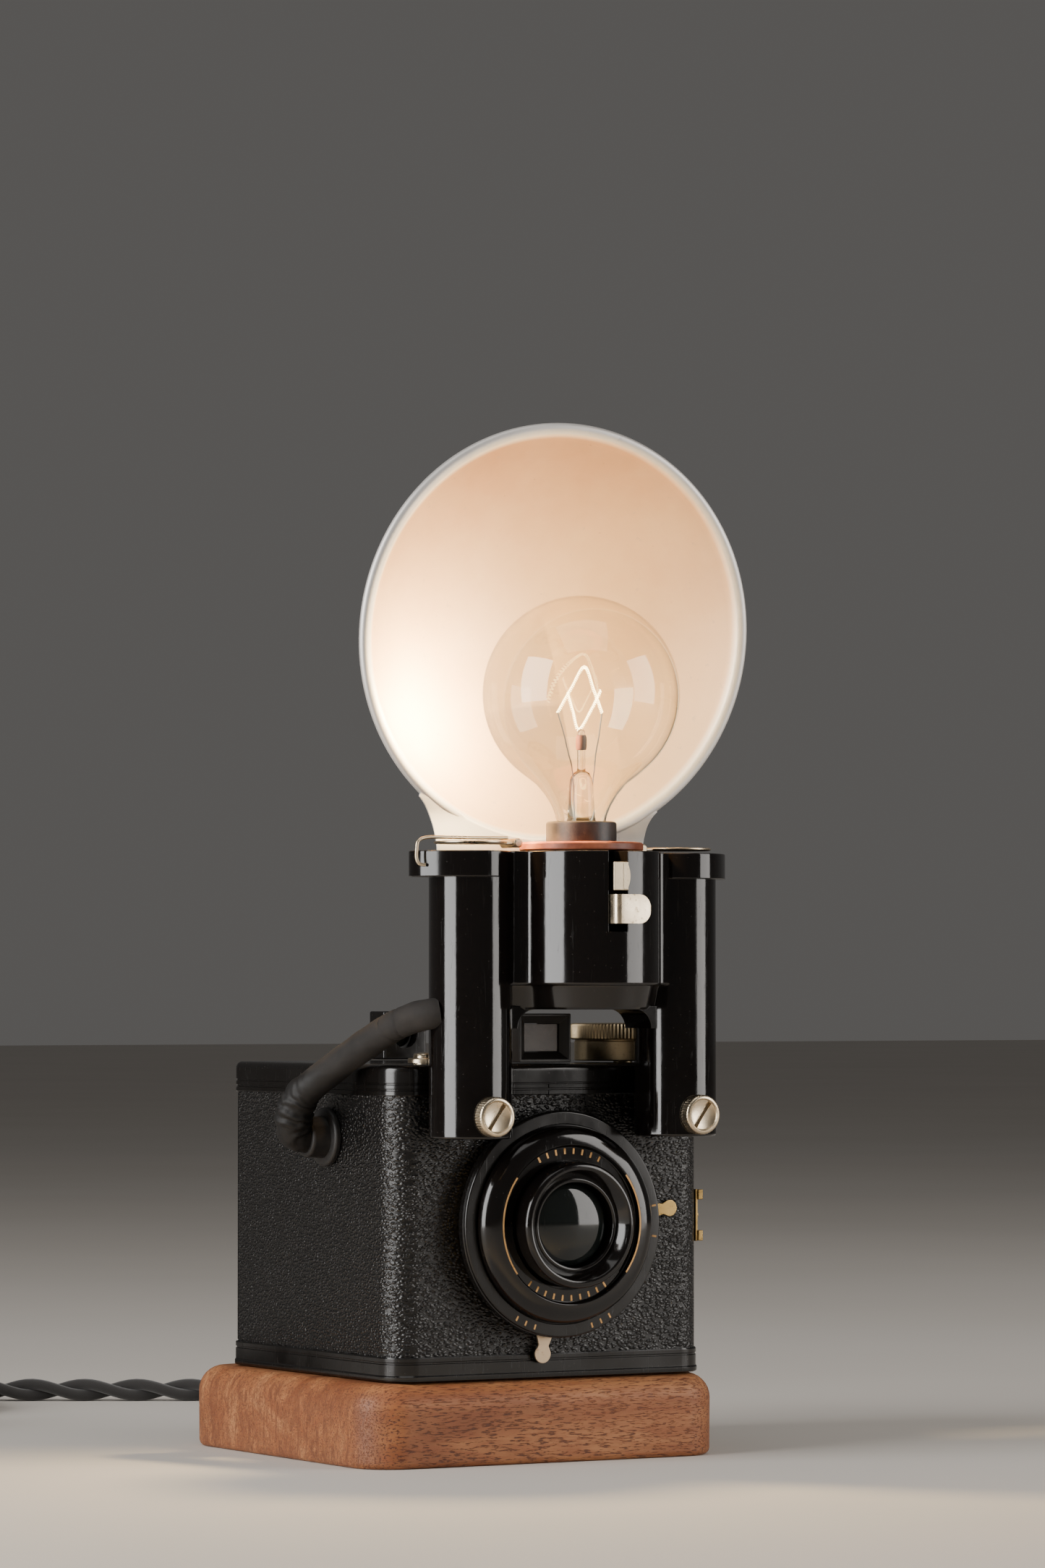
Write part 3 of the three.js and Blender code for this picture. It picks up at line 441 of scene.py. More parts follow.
def wood():
    """Varnished mahogany: streaked along the grain, with open pores and darker end grain."""
    p = Paint("wood")
    grain = p.stretched(1, 9, 9)
    rings = p.noise(16, 4, 0.55, p.stretched(0.55, 3.2, 3.2), 0.8)
    figure = p.noise(75, 5, 0.6, grain, 0.4)
    pores = p.noise(330, 3, 0.6, p.stretched(1, 6.5, 6.5))
    base = p.ramp(rings, (0.32, "#7d4a2b"), (0.52, "#a16a42"), (0.7, "#bd875a"))
    streaked = p.mix(p.span(figure, 0.0, 0.7, 0.42, 0.7), base, "#84492c")
    dark = p.ramp(pores, (0.53, 0.0), (0.62, 1.0))
    colour = p.mix(p.times(dark, 0.9), streaked, "#4c2615")
    blotch = p.noise(28, 3, 0.6)
    colour = p.mix(p.span(blotch, 0.0, 0.4, 0.45, 0.75), colour, "#86492a")
    end_grain = p.mask(p.math("ABSOLUTE", p.facing(0)), 0.45, 0.9)
    growth = p.noise(210, 6, 0.8, p.stretched(1, 1.7, 0.5), 1.2)
    colour = p.mix(p.times(end_grain, p.span(growth, 0.15, 0.95, 0.42, 0.62)), colour, "#643a24")
    height = p.math("SUBTRACT", p.times(figure, 0.25), dark)
    return p.surface(base_color=colour, roughness=p.span(figure, 0.42, 0.62),
                     normal=p.bump(height, 0.12, 0.7), specular_ior_level=0.4)


def leatherette():
    """Black pebbled covering, a little browner where it is worn."""
    p = Paint("leatherette")
    small = {"Vector": p.where, "Scale": 500.0, "Detail": 1.0}
    drift = p.node("ShaderNodeTexNoise", small).outputs["Color"]
    warp = p.vector("MULTIPLY_ADD", drift, (0.0007, 0.0007, 0.0007), p.where)
    flat = p.node("ShaderNodeMapping", {"Vector": warp, "Scale": (1, 1, 1.6)}).outputs[0]
    pebbles = p.cells(760, flat, "SMOOTH_F1", 0.3)
    domes = p.span(pebbles, 1.0, 0.0, 0.08, 0.62)
    fine = p.noise(5200, 2)
    height = p.plus(domes, p.times(fine, 0.1))
    worn = p.noise(24, 4, 0.6)
    flecks = p.ramp(p.cells(170), (0.02, 1.0), (0.05, 0.0))
    colour = p.mix(p.mask(domes, 0.25, 0.9), "#050404", "#0f0c0b")
    colour = p.mix(p.span(worn, 0.0, 0.25, 0.5, 0.75), colour, "#1a1513")
    colour = p.mix(p.times(flecks, 0.35), colour, "#6d5d50")
    return p.surface(base_color=colour, roughness=p.span(worn, 0.25, 0.37),
                     normal=p.bump(height, 0.31, 1.0), specular_ior_level=0.48)


def gloss_black(name, tone, rough, edge, waves, dust):
    """Polished black with faint waves, hairline scratches and dust, rounded at its edges."""
    p = Paint(name)
    edges = p.round_edges(edge)
    ripple = p.noise(130, 2, 0.5)
    scratch = p.ramp(p.noise(900, 2, 0.7, p.stretched(1, 1, 0.06), 1.5), (0.62, 0.0), (0.68, 1.0))
    specks = p.ramp(p.cells(520), (0.02, 1.0), (0.09, 0.0))
    smear = p.noise(45, 4, 0.65)
    colour = p.mix(p.times(specks, dust * 0.4), tone, "#6b625a")
    roughness = p.plus(p.span(smear, rough * 0.8, rough * 1.9, 0.35, 0.75), p.times(specks, 0.3))
    roughness = p.plus(roughness, p.times(scratch, 0.14))
    normal = p.bump(p.plus(ripple, p.times(scratch, -0.02)), waves, 0.6, edges)
    return p.surface(base_color=colour, roughness=roughness, normal=normal, specular_ior_level=0.5)


def metal(name, light, dark, rough, edge=0.15):
    """Plated or plain metal with tarnish, a fine grain and rounded edges."""
    p = Paint(name)
    edges = p.round_edges(edge)
    cloud = p.noise(60, 5, 0.65)
    grain = p.noise(2600, 2)
    spots = p.ramp(p.noise(700, 3, 0.6), (0.6, 0.0), (0.72, 1.0))
    colour = p.mix(p.span(cloud, 0.0, 0.5, 0.4, 0.75), light, dark)
    colour = p.mix(p.times(spots, 0.5), colour, dark)
    roughness = p.plus(p.span(cloud, rough * 0.75, rough * 1.5, 0.35, 0.7), p.times(spots, 0.15))
    return p.surface(base_color=colour, metallic=1.0, roughness=roughness,
                     normal=p.bump(grain, 0.012, 0.5, edges))


def aluminium():
    """Spun sheet: turned rings, a painted warm reflection inside the bowl that is darker towards its top,
    and plain grey on the rim and the back.
    """
    p = Paint("spun_aluminium")
    offset = p.vector("SUBTRACT", p.where, tuple(at(0, DISH["y"], DISH["z"])))
    flat = p.vector("MULTIPLY", offset, (1, 0.12, 1))
    distance = p.node("ShaderNodeVectorMath", {0: flat}, operation="LENGTH").outputs["Value"]
    wobble = p.plus(distance, p.times(p.noise(30, 2), 0.0006))
    rings = p.node("ShaderNodeTexNoise", {"W": p.times(wobble, 2600.0), "Scale": 1.0, "Detail": 3.0},
                   noise_dimensions="1D").outputs["Fac"]
    cloud = p.noise(22, 5, 0.6)
    pits = p.ramp(p.cells(150), (0.015, 1.0), (0.05, 0.0))
    chips = p.ramp(p.noise(260, 3, 0.7), (0.66, 0.0), (0.7, 1.0))
    # The warm tone inside the bowl is a painted reflection of the lamp's warm light and the room; the rim
    # and the back keep the metal's own grey.
    colour = p.mix(p.span(cloud, 0.0, 0.6, 0.35, 0.75), "#d2b69c", "#c09c80")
    # Painted reflection: a darker brown towards the top of the bowl stands in for the dark room mirrored
    # there.
    high = p.span(p.part(offset, 2), 0.0, 0.8, 0.005, 0.056)
    painted_reflection_top = p.times(high, p.span(cloud, 0.7, 1.0, 0.3, 0.7))
    colour = p.mix(painted_reflection_top, colour, "#a9805f")
    rim = p.mask(distance, (DISH["lip"] - 2.8) * MM, (DISH["lip"] - 1.4) * MM)
    back = p.mask(p.facing(1), -0.1, 0.1)
    grey = p.mix(p.mask(cloud, 0.35, 0.7), "#dcd8d4", "#c6c2be")
    colour = p.mix(p.math("MAXIMUM", rim, back), colour, grey)
    colour = p.mix(p.times(pits, 0.35), colour, "#6b5f55")
    colour = p.mix(p.times(chips, 0.22), colour, "#8e8a8c")
    roughness = p.span(p.plus(cloud, p.times(rings, 0.4)), 0.42, 0.58, 0.3, 1.1)
    return p.surface(base_color=colour, metallic=0.75, roughness=roughness,
                     normal=p.bump(rings, 0.02, 0.45, p.round_edges(0.25)))


def matt(name, tone, worn, rough, grit=1800, depth=0.03, scale=70):
    """Dull rubber, fibre or paint: gritty, with paler scuffs."""
    p = Paint(name)
    cloud = p.noise(scale, 5, 0.7)
    fine = p.noise(grit, 3, 0.6)
    scuff = p.ramp(p.noise(420, 4, 0.75, None, 1.2), (0.58, 0.0), (0.7, 1.0))
    colour = p.mix(p.span(cloud, 0.0, 0.5, 0.4, 0.75), tone, worn)
    colour = p.mix(p.times(scuff, 0.3), colour, worn)
    height = p.plus(fine, p.times(cloud, 0.6))
    return p.surface(base_color=colour, roughness=p.span(cloud, rough, min(rough * 1.25, 1), 0.35, 0.7),
                     normal=p.bump(height, depth, 0.7))


def sleeving():
    """Grey fabric sleeving, bound with black tape round its elbow."""
    p = Paint("grey_sleeving")
    cloud = p.noise(55, 5, 0.7)
    weave = p.noise(2400, 3, 0.6)
    ragged = p.plus(p.part(p.where, 2), p.times(p.noise(420, 2), 0.0035))
    grey = p.mix(p.span(cloud, 0.0, 0.7, 0.4, 0.7), "#191716", "#2d2926")
    tape = p.span(ragged, 1.0, 0.0, (TAPE_TOP - 1) * MM, (TAPE_TOP + 1) * MM)
    colour = p.mix(tape, grey, "#0b0908")
    ridges = p.plus(weave, p.times(cloud, 0.8))
    return p.surface(base_color=colour, roughness=p.span(tape, 0.8, 0.6), normal=p.bump(ridges, 0.04, 0.8),
                     specular_ior_level=0.35)


def fibre():
    """Red-brown pressed board in thin layers."""
    p = Paint("fibre")
    layers = p.noise(900, 3, 0.6, p.stretched(0.3, 0.3, 5))
    cloud = p.noise(90, 4, 0.6)
    colour = p.mix(layers, "#8f4a2c", "#5a2614")
    colour = p.mix(p.span(cloud, 0.0, 0.8, 0.45, 0.7), colour, "#b06a4a")
    return p.surface(base_color=colour, roughness=p.span(cloud, 0.35, 0.6),
                     normal=p.bump(layers, 0.05, 0.8, p.round_edges(0.3)))


def clear_glass(name, tint):
    """Glass that bends light for the eye but lets the lamp's own light straight through."""
    p = Paint(name)
    streaks = p.noise(40, 3, 0.5)
    normal = p.bump(streaks, 0.03, 0.15)
    glass = p.node("ShaderNodeBsdfGlass", {"Color": tint, "Roughness": 0.0, "IOR": 1.48, "Normal": normal})
    open_light = p.node("ShaderNodeBsdfTransparent", {"Color": tint})
    path = p.node("ShaderNodeLightPath")
    passing = p.math("MAXIMUM", path.outputs["Is Shadow Ray"], path.outputs["Is Diffuse Ray"])
    mix = p.node("ShaderNodeMixShader", {0: passing, 1: glass.outputs[0], 2: open_light.outputs[0]})
    p.tree.links.new(mix.outputs[0], p.output.inputs[0])
    return p.material


def braid():
    """Woven cotton over a wire, in slanting threads.  UV runs along and round the strand, in mm."""
    p = Paint("braided_cotton")
    uv = p.node("ShaderNodeTexCoord").outputs["UV"]
    along, round_it = p.part(uv, 0), p.part(uv, 1)

    def threads(slant):
        slope = p.plus(p.times(along, slant), round_it)
        return p.math("ABSOLUTE", p.math("SINE", p.times(slope, pi / 0.8)))

    weave = p.math("MAXIMUM", threads(1.0), threads(-1.0))
    fuzz = p.noise(2400, 3, 0.7)
    colour = p.mix(p.mask(weave, 0.5, 1.0), "#0a0908", "#201d1b")
    colour = p.mix(p.span(fuzz, 0.0, 0.3, 0.5, 0.8), colour, "#3a3430")
    height = p.plus(weave, p.times(fuzz, 0.4))
    return p.surface(base_color=colour, roughness=0.85, normal=p.bump(height, 0.12, 0.9), sheen_weight=0.3,
                     sheen_roughness=0.5)


def glowing():
    """Wire that gives off light."""
    p = Paint("hot_filament")
    pulse = p.noise(900, 2)
    colour = p.mix(pulse, "#ffd27a", "#fff0c0")
    return p.surface(base_color="#2a2420", roughness=0.5, emission_color=colour, emission_strength=90.0)


WOOD = wood()
LEATHER = leatherette()
ENAMEL = gloss_black("black_enamel", "#0c0a09", 0.15, 0.08, 0.006, 0.7)
BAKELITE = gloss_black("bakelite", "#0b0807", 0.08, 0.35, 0.06, 0.7)
SATIN = gloss_black("satin_black", "#1a1715", 0.3, 0.15, 0.01, 0.5)
NICKEL = metal("nickel", "#d4c4aa", "#94805f", 0.3)
WORN_NICKEL = metal("worn_nickel", "#a09074", "#5c4c36", 0.42)
BRASS = metal("brass", "#a58a58", "#5e4a2a", 0.34)
STEEL = metal("steel", "#a8a6a2", "#6a6660", 0.3)
DARK_METAL = matt("dark_paint", "#171614", "#3a3733", 0.5)
ALUMINIUM = aluminium()
RUBBER = matt("black_rubber", "#0c0a09", "#201c19", 0.5, 1500, 0.03)
SLEEVING = sleeving()
SOCKET_BLACK = matt("socket_black", "#1b1714", "#57493d", 0.4, 1600, 0.04, 110)
FIBRE = fibre()
GLASS = clear_glass("bulb_glass", "#fffefa")
LENS_GLASS = gloss_black("lens_glass", "#131716", 0.05, 0.05, 0.003, 0.12)
FROSTED = matt("finder_glass", "#453f3c", "#736a64", 0.3, 1500, 0.01)
CLOTH = braid()
GLOW = glowing()
GOLD = metal("gold_paint", "#b08a5c", "#7a5a38", 0.42, 0.05)
PINK_NICKEL = metal("pink_nickel", "#b9a48a", "#8a6f56", 0.36)
BEAD = matt("stem_bead", "#3a2018", "#6a4030", 0.5)
RED = matt("red_window", "#4a0d08", "#6b1a10", 0.2)

make_camera()


# ---- mains cord and plug


def coil_line():
    """Inwards along the table, up, and outwards again; each change of turn comes in one short arc."""
    line = []
    outer, step = COIL["outer"], COIL["step"]
    for turn in range(60, COIL["leaves"] + 1, 3):
        inwards = eased(turn, 340, 410) + eased(turn, 700, 770)
        outwards = eased(turn, 1270, 1340) + eased(turn, 1630, 1700)
        radius = outer - step * (inwards - outwards)
        height = CORD["diameter"] / 2 + step * eased(turn, 985, 1055)
        t = radians(turn)
        line.append(Vector((COIL["x"] + radius * cos(t), COIL["y"] + radius * sin(t), height)))
    return line


def cord_route():
    """The cord's middle line from the base to the plug, where it leaves the coil, and its heading there."""
    down = [(40, 148.7, 13), (40.2, 163, 12), (41.2, 178, 8.5), (43.2, 193, 5), (45.6, 208, 4.1)]
    flat = [(47.6, 222), (48.7, 237), (49, 252.2), (47.4, 264.7), (42.5, 276.3), (34.9, 286.3),
            (24.9, 293.9), (10, 302.5), (-6, 311.7), (-22, 321), (-37.4, 329.9), (-51, 337.8),
            (-64.2, 345.4), (-77, 352.8)]
    run = down + [(x, y, CORD["diameter"] / 2) for x, y in flat]
    coil = coil_line()
    ahead = (coil[-1] - coil[-2]).normalized()
    ahead.z = 0
    leave = coil[-1]
    rises = ((10, 0), (20, 0), (29, 0.1), (35, 0.7), (41, 1.4), (46.6, 1.4))
    tail = [leave + ahead * d + Vector((0, 0, rise)) for d, rise in rises]
    return smooth_line([*run, *coil[::4], *tail], CORD["spacing"]), leave, ahead


def thread_uv(flex, points, sides):
    """UV along and round each strand, in millimetres.  A strand is so many points, in rings of sides."""
    layer = flex.data.uv_layers.new(name="thread")
    step = 2 * pi * CORD["strand"] / sides
    for face in flex.data.polygons:
        places = [flex.data.loops[k].vertex_index % points for k in face.loop_indices]
        columns = [place % sides for place in places]
        wrap = max(columns) - min(columns) > sides / 2
        for k, place, column in zip(face.loop_indices, places, columns):
            turn = column + sides if wrap and column < sides / 2 else column
            layer.data[k].uv = ((place // sides) * CORD["spacing"], turn * step)


def mains_cord():
    """Two strands twisted together, with the sleeve where they leave the base and the plug at their end."""
    line, leave, ahead = cord_route()
    sides = 12
    reach = lambda point: CORD["apart"] / 2 * (1 + 0.02 * noise.noise(point * 0.05))
    middles = [helix(line, CORD["pitch"], reach, phase) for phase in (0.6, 0.6 + pi)]
    flex = solid("mains_cord", *[tube(middle, CORD["strand"], sides) for middle in middles])
    thread_uv(flex, len(line) * sides, sides)
    finish(flex, CLOTH, "cord_run", "cord_coil", "cord_tail", sharp=60)
    path = [tuple(at(*p)) for p in line]

    start = leave + ahead * PLUG["after_coil"]
    start.z = PLUG["axis_z"]
    plug = plug_pieces(start, ahead)
    ribs = [(4.45 + 0.9 * (1 - h / 26) + (0.55 if i % 2 else 0), h) for i, h in enumerate(range(2, 25, 2))]
    sleeve = [(0, 0), (6.4, 0), (6.4, 1.4), *ribs, (4.4, 25.2), (4.1, 26), (0, 26)]
    relief = turned(sleeve, CORD_EXIT["x"], 0, CORD_EXIT["z"], 32, "front")
    back = [(x, BASE["back"] + 0.35 - y, z) for x, y, z in relief[0]]
    finish(solid("cord_strain_relief", (back, relief[1])), RUBBER, "strain_relief", sharp=50)


def plug_pieces(start, ahead):
    """A round plug lying on the table with its two flat blades side by side."""
    side = Vector((ahead.y, -ahead.x, 0))

    def lay(shape, offset=0.0):
        points, faces = shape
        moved = [start + ahead * z + side * (x + offset) + Vector((0, 0, y)) for x, y, z in points]
        return [tuple(point) for point in moved], faces

    grips = lambda t, r, h: 0.25 * cos(24 * t) if 12 < h < 31 and r > 8 else 0
    bell = turned([(0, 0), (4.6, 0), (5.5, 0.8), (6, 6), (6.6, 9), (8, 13), (10, 16.5), (12, 20),
                   (12.8, 23), (12.8, 31), (12.4, 33), (11.4, 34), (0, 34)], 0, 0, 0, 96, ripple=grips)
    pieces = [finish(solid("plug", lay(bell)), BAKELITE, "plug_body", sharp=50)]
    upright = lambda u, v, w: (w, u, v)
    outline = [(-3.2, 34.4), (3.2, 34.4), (3.2, 50.2), (2.2, 52), (-2.2, 52), (-3.2, 50.2)]
    for name, offset, node in (("plug_blade_a", -6.35, "plug_blade_left"),
                               ("plug_blade_b", 6.35, "plug_blade_right")):
        blade = slab(outline, -0.75, 0.75, 0.2, 0.2, 2, put=upright)
        hole = slab(arc(0, 46.5, 1.5, 1.5, 0, 345, 23), -2, 2, put=upright)
        pieces.append(finish(cut(solid(name, lay(blade, offset)), lay(hole, offset)), BRASS, node))
    return pieces


mains_cord()


# ---- wooden base


def wooden_base():
    """A rounded block, very slightly uneven round its sides."""
    sides = [BASE[side] for side in ("left", "right", "front", "back")]
    foot, shoulder = BASE_EDGE["foot"], BASE_EDGE["shoulder"]
    levels = [(foot * (1 - sin(t)), foot * (1 - cos(t))) for t in quarter(3)]
    levels += [(0, 6), (0, 10), (0, 14)]
    levels += [(shoulder * (1 - cos(t)), BASE["top"] - shoulder * (1 - sin(t))) for t in quarter(8)]
    heart, reach = (2.75, 58.5), 70
    rings = []
    for inset, z in levels:
        ring = []
        for x, y in rounded(*sides, BASE_EDGE["corner"], inset=inset, n=12):
            pull = 1 + 0.5 * noise.noise(Vector((x * 0.03, y * 0.03, z * 0.02))) / reach
            ring.append((x * pull - heart[0] * (pull - 1), y * pull - heart[1] * (pull - 1), z))
        rings.append(ring)
    base = solid("base", loft(rings))
    cut(base, post(0, BOLT_Y, 3.7, -1, 27, 32), post(0, BOLT_Y, 7.5, -1, 7, 48),
        rod_y(CORD_EXIT["x"], CORD_EXIT["z"], 5, 55, 124, 32),
        post(LEAD_HOLE["x"], LEAD_HOLE["y"], 4.4, 13, 27, 32))
    finish(base, WOOD, "wood_base", sharp=40)
    head = [(0, 2), (5.9, 2), (6.6, 2.7), (6.6, 6.6), (3.2, 6.6), (3.2, 30), (2.8, 30.4), (0, 30.4)]
    bolt = solid("bolt", turned(head, 0, BOLT_Y, 0, 48))
    cut(bolt, turned([(0, 0), (3, 0), (3, 5), (0, 5)], 0, BOLT_Y, 0, 6))
    finish(bolt, STEEL, "base_bolt")


wooden_base()


# ---- camera body


def body_ring(grow, z):
    """The camera's outline at height z, moved outwards by grow."""
    outline = rounded(-BODY["half"], BODY["half"], 0, BODY["depth"], BODY["front"], BODY["rear"], -grow, 12)
    return [(x, y, z) for x, y in outline]


def knuckle(z0, z1):
    """A hinge barrel at the camera's right rear corner, with its rounded ends."""
    profile = [(1.35, z0), (1.9, z0), (2.2, z0 + 0.3), (2.2, z1 - 0.3), (1.9, z1), (1.35, z1)]
    return turned(profile, HINGE["x"], HINGE["y"], 0, 32, closed=True)


def camera_body():
    """The covered shell, its enamelled bands at the bottom and the top, and the catch on its side."""
    screw_holes = [rod_y(x, SCREW_Z, 2.3, -1, 3) for x in (-TUBE["x"], TUBE["x"])]
    shell = solid("body_shell_covering", loft([body_ring(0, 28.7), body_ring(0, 122.15)]))
    cut(shell, loft([body_ring(-2, 27), body_ring(-2, 124)]), block(-60, 60, 104.6, 112, 25, 125, 0),
        rod_y(0, LENS_Z, 9, -1, 3), rod_x(GROMMET["y"], GROMMET["z"], 5.4, -58, -53), *screw_holes)
    finish(shell, LEATHER, "body_shell")
    spans = ((44, 59.5), (90.5, 106))
    leaves = [block(56.3, 57.7, 96.5, HINGE["y"], a, b, 0.2) for a, b in spans]
    hinge = solid("hinge_body_half", *[knuckle(a, b) for a, b in spans], *leaves)
    finish(hinge, WORN_NICKEL, slot="nickel")

    foot = [(0.2, 26.35), (0.75, 26.6), (0.9, 27.1), (0.9, 27.9), (0.6, 28.4), (0.6, 31.7), (0.3, 31.9),
            (0.3, 32.3), (0.6, 32.5), (0.6, 33.6), (0.4, 34)]
    tray = solid("bottom_band", loft([body_ring(g, z) for g, z in foot]))
    cut(tray, loft([body_ring(0.1, 28.4), body_ring(0.1, 36)]), post(0, BOLT_Y, 3.7, 25, 30, 32),
        post(LEAD_HOLE["x"], LEAD_HOLE["y"], 4.4, 25, 30, 32))
    finish(tray, ENAMEL, "bottom_trim", sharp=25)

    lid = [(0.4, 114.8), (0.6, 115), (0.6, 116.2), (0.25, 116.4), (0.25, 116.8), (0.6, 117), (0.6, 118.1),
           (0.3, 118.3), (0.3, 118.6), (0.6, 118.8), (0.6, 122.2)]
    lid += [(0.6 - 2.1 * (1 - cos(t)), 122.4 + 2.1 * sin(t)) for t in quarter(6)]
    cap = solid("top_band", loft([body_ring(g, z) for g, z in lid]))
    cut(cap, loft([body_ring(0.1, 113), body_ring(0.1, 122.5)]),
        post(KNOB["x"], KNOB["y"], 3.4, 120, 126, 32), post(BUTTON["x"], BUTTON["y"], 3.85, 120, 126, 32),
        block(-1.5, -1.15, -2, -0.25, 114, 118.2, 0))
    finish(cap, ENAMEL, "top_cap", sharp=25)

    bracket = [block(56.85, 57.7, 6, 12, 67.5, 84, 0.2), block(57.6, 59.4, 5.5, 11, 67.6, 70.9, 0.25),
               block(57.6, 59.4, 5.5, 11, 80.7, 83.9, 0.25), rod_x(8.5, 75.7, 1.3, 57.6, 58.6, 24)]
    finish(solid("side_catch", *bracket), BRASS, "side_bracket")


def back_door():
    """The covered door with its hinge half, red window and sliding catch."""
    panel = solid("back_panel", loft([body_ring(0, 34.6), body_ring(0, 114.2)]))
    cut(panel, block(-60, 60, -5, 105, 20, 130, 0), block(55.5, 60, 100, 112, 20, 130, 0),
        rod_y(0, LENS_Z, 6.4, 104, 110))
    finish(panel, LEATHER, "back_cover", body="back_cover")
    leaf = block(52.5, 58.2, 108.05, 108.9, 60.3, 89.7, 0.2)
    finish(solid("hinge_door_half", knuckle(60, 90), leaf), WORN_NICKEL, body="back_cover", slot="nickel")
    rim = [(6.5, -108.4), (7.6, -108.4), (7.6, -108.2), (7.2, -107.9), (6.5, -107.9)]
    finish(solid("window_rim", lens_ring(rim, 64)), WORN_NICKEL, body="back_cover", slot="nickel")
    window = [(0, -107), (5.9, -107), (6, -106.8), (6, -105.9), (0, -105.9)]
    pane = lens_ring(window, 64, closed=False)
    finish(solid("film_window", pane), RED, "frame_window", body="back_cover")
    slider = [block(-50, -38, 108.35, 109.4, 68, 81, 0.3)]
    slider += [block(x - 0.5, x + 0.5, 109.2, 110.6, 69.5, 79.5, 0.25) for x in (-47.5, -45, -42.5)]
    finish(solid("door_catch", *slider), NICKEL, "back_latch", body="back_latch")


camera_body()
back_door()


# ---- lens and its rings


def sector(r0, r1, h, thick, start, stop, count):
    """A curved bar on the lens ring, from one angle to another."""
    ring = []
    for i in range(count + 1):
        t = radians(start + (stop - start) * i / count)
        c, s = cos(t), sin(t)
        section = ((r0, h), (r1, h), (r1, h + thick), (r0, h + thick))
        ring.append([(r * c, -height, LENS_Z + r * s) for r, height in section])
    return loft(ring)


def lens():
    """The rings from the camera's wall outwards, the glass, and the gold marks on the rings."""
    neck = [(8.6, 0.35), (25.6, 0.35), (26, 0.7), (26, 3.1), (8.6, 3.1)]
    finish(solid("lens_seat", lens_ring(neck, 128)), ENAMEL, "lens_neck")
    flange = [(9, 3.4), (34.9, 3.4), *arc(34.9, 4, 0.6, 0.6, -90, 0, 3), (35.5, 6.2), (35.2, 6.5),
              (35.2, 6.8), *arc(34.7, 7, 0.5, 0.6, 0, 90, 4), (31.4, 7.6), (31.2, 7.35), (9, 7.35)]
    finish(solid("lens_plate", lens_ring(flange)), ENAMEL, "lens_flange")
    bezel = [(20.2, 7.95), (31, 7.95), (31, 8.5), *arc(25.2, 8.7, 5.8, 4.3, 0, 90, 14), (24.9, 13),
             (24.5, 12.7), (24.4, 11.2), (24.1, 11), (20.2, 11)]
    finish(solid("lens_bezel_ring", lens_ring(bezel)), BAKELITE, "lens_bezel")
    barrel = [(13.3, 7.95), (19.6, 7.95), (19.6, 17.2), *arc(18, 17.4, 1.6, 1.5, 0, 120, 10), (15.2, 16.2),
              (14.8, 15.2), *arc(14, 15.1, 0.7, 0.5, 0, 180, 6), (13.3, 14.7)]
    finish(solid("lens_tube", lens_ring(barrel)), BAKELITE, "lens_barrel")
    glass = [(0, 10.4), (12.9, 10.4), *arc(0, 11.5, 12.9, 3.0, 0, 90, 14)]
    finish(solid("lens_front", lens_ring(glass, 96, closed=False)), LENS_GLASS, "front_glass")
    well = [(3.6, 8.1), (12.9, 8.9), (13, 9.9), (13.1, 9.9), (13.1, 8), (3.6, 8)]
    finish(solid("lens_well", lens_ring(well, 96)), BAKELITE, slot="bakelite")

    marks = [sector(24.45, 25.0, 12.98, 0.12, a, b, 40) for a, b in ((143, 217), (-38, 38))]
    inner_ticks = (*range(62, 121, 8), *range(232, 309, 8))
    outer_ticks = (9, -7.6, 240, 246, 252, 288, 294, 300)
    marks += [sector(22.0, 23.8, 11.0, 0.1, a - 0.8, a + 0.8, 2) for a in inner_ticks]
    marks += [sector(32.6, 34.2, 7.58, 0.08, a - 0.5, a + 0.5, 2) for a in outer_ticks]
    finish(solid("ring_marks", *marks), GOLD, slot="brass")


def lever(name, h0, h1, angle, reach, tip, waist, paint, body):
    """A flat ring about the lens with a finger tab that widens to a round end."""
    tab = [(29, -waist - 0.9), (34.5, -waist - 0.5), (reach - tip * 0.95, -waist * 0.72)]
    tab += arc(reach, 0, tip, tip, -125, 125, 20)
    tab += [(reach - tip * 0.95, waist * 0.72), (34.5, waist + 0.5), (29, waist + 0.9)]
    c, s = cos(radians(angle)), sin(radians(angle))
    put = lambda u, v, w: (u * c - v * s, -w, LENS_Z + u * s + v * c)
    finger = slab(tab, h0, h1, 0.15, 0.15, 2, put)
    ring = lens_ring([(26.35, h0 + 0.02), (33, h0 + 0.02), (33, h1 - 0.02), (26.35, h1 - 0.02)], 128)
    finish(solid(name, ring, finger), paint, body, body=body)


lens()
lever("shutter_lever", 0.75, 1.55, 5.4, 42.8, 2.6, 2.3, BRASS, "speed_lever")
lever("distance_lever", 1.95, 2.75, 263.5, 40.9, 2.85, 2.5, PINK_NICKEL, "focus_lever")


# ---- finder, knob and button


def frame_ring(x0, x1, z0, z1, y):
    """An upright rectangle at depth y."""
    return [(x0, y, z0), (x1, y, z0), (x1, y, z1), (x0, y, z1)]


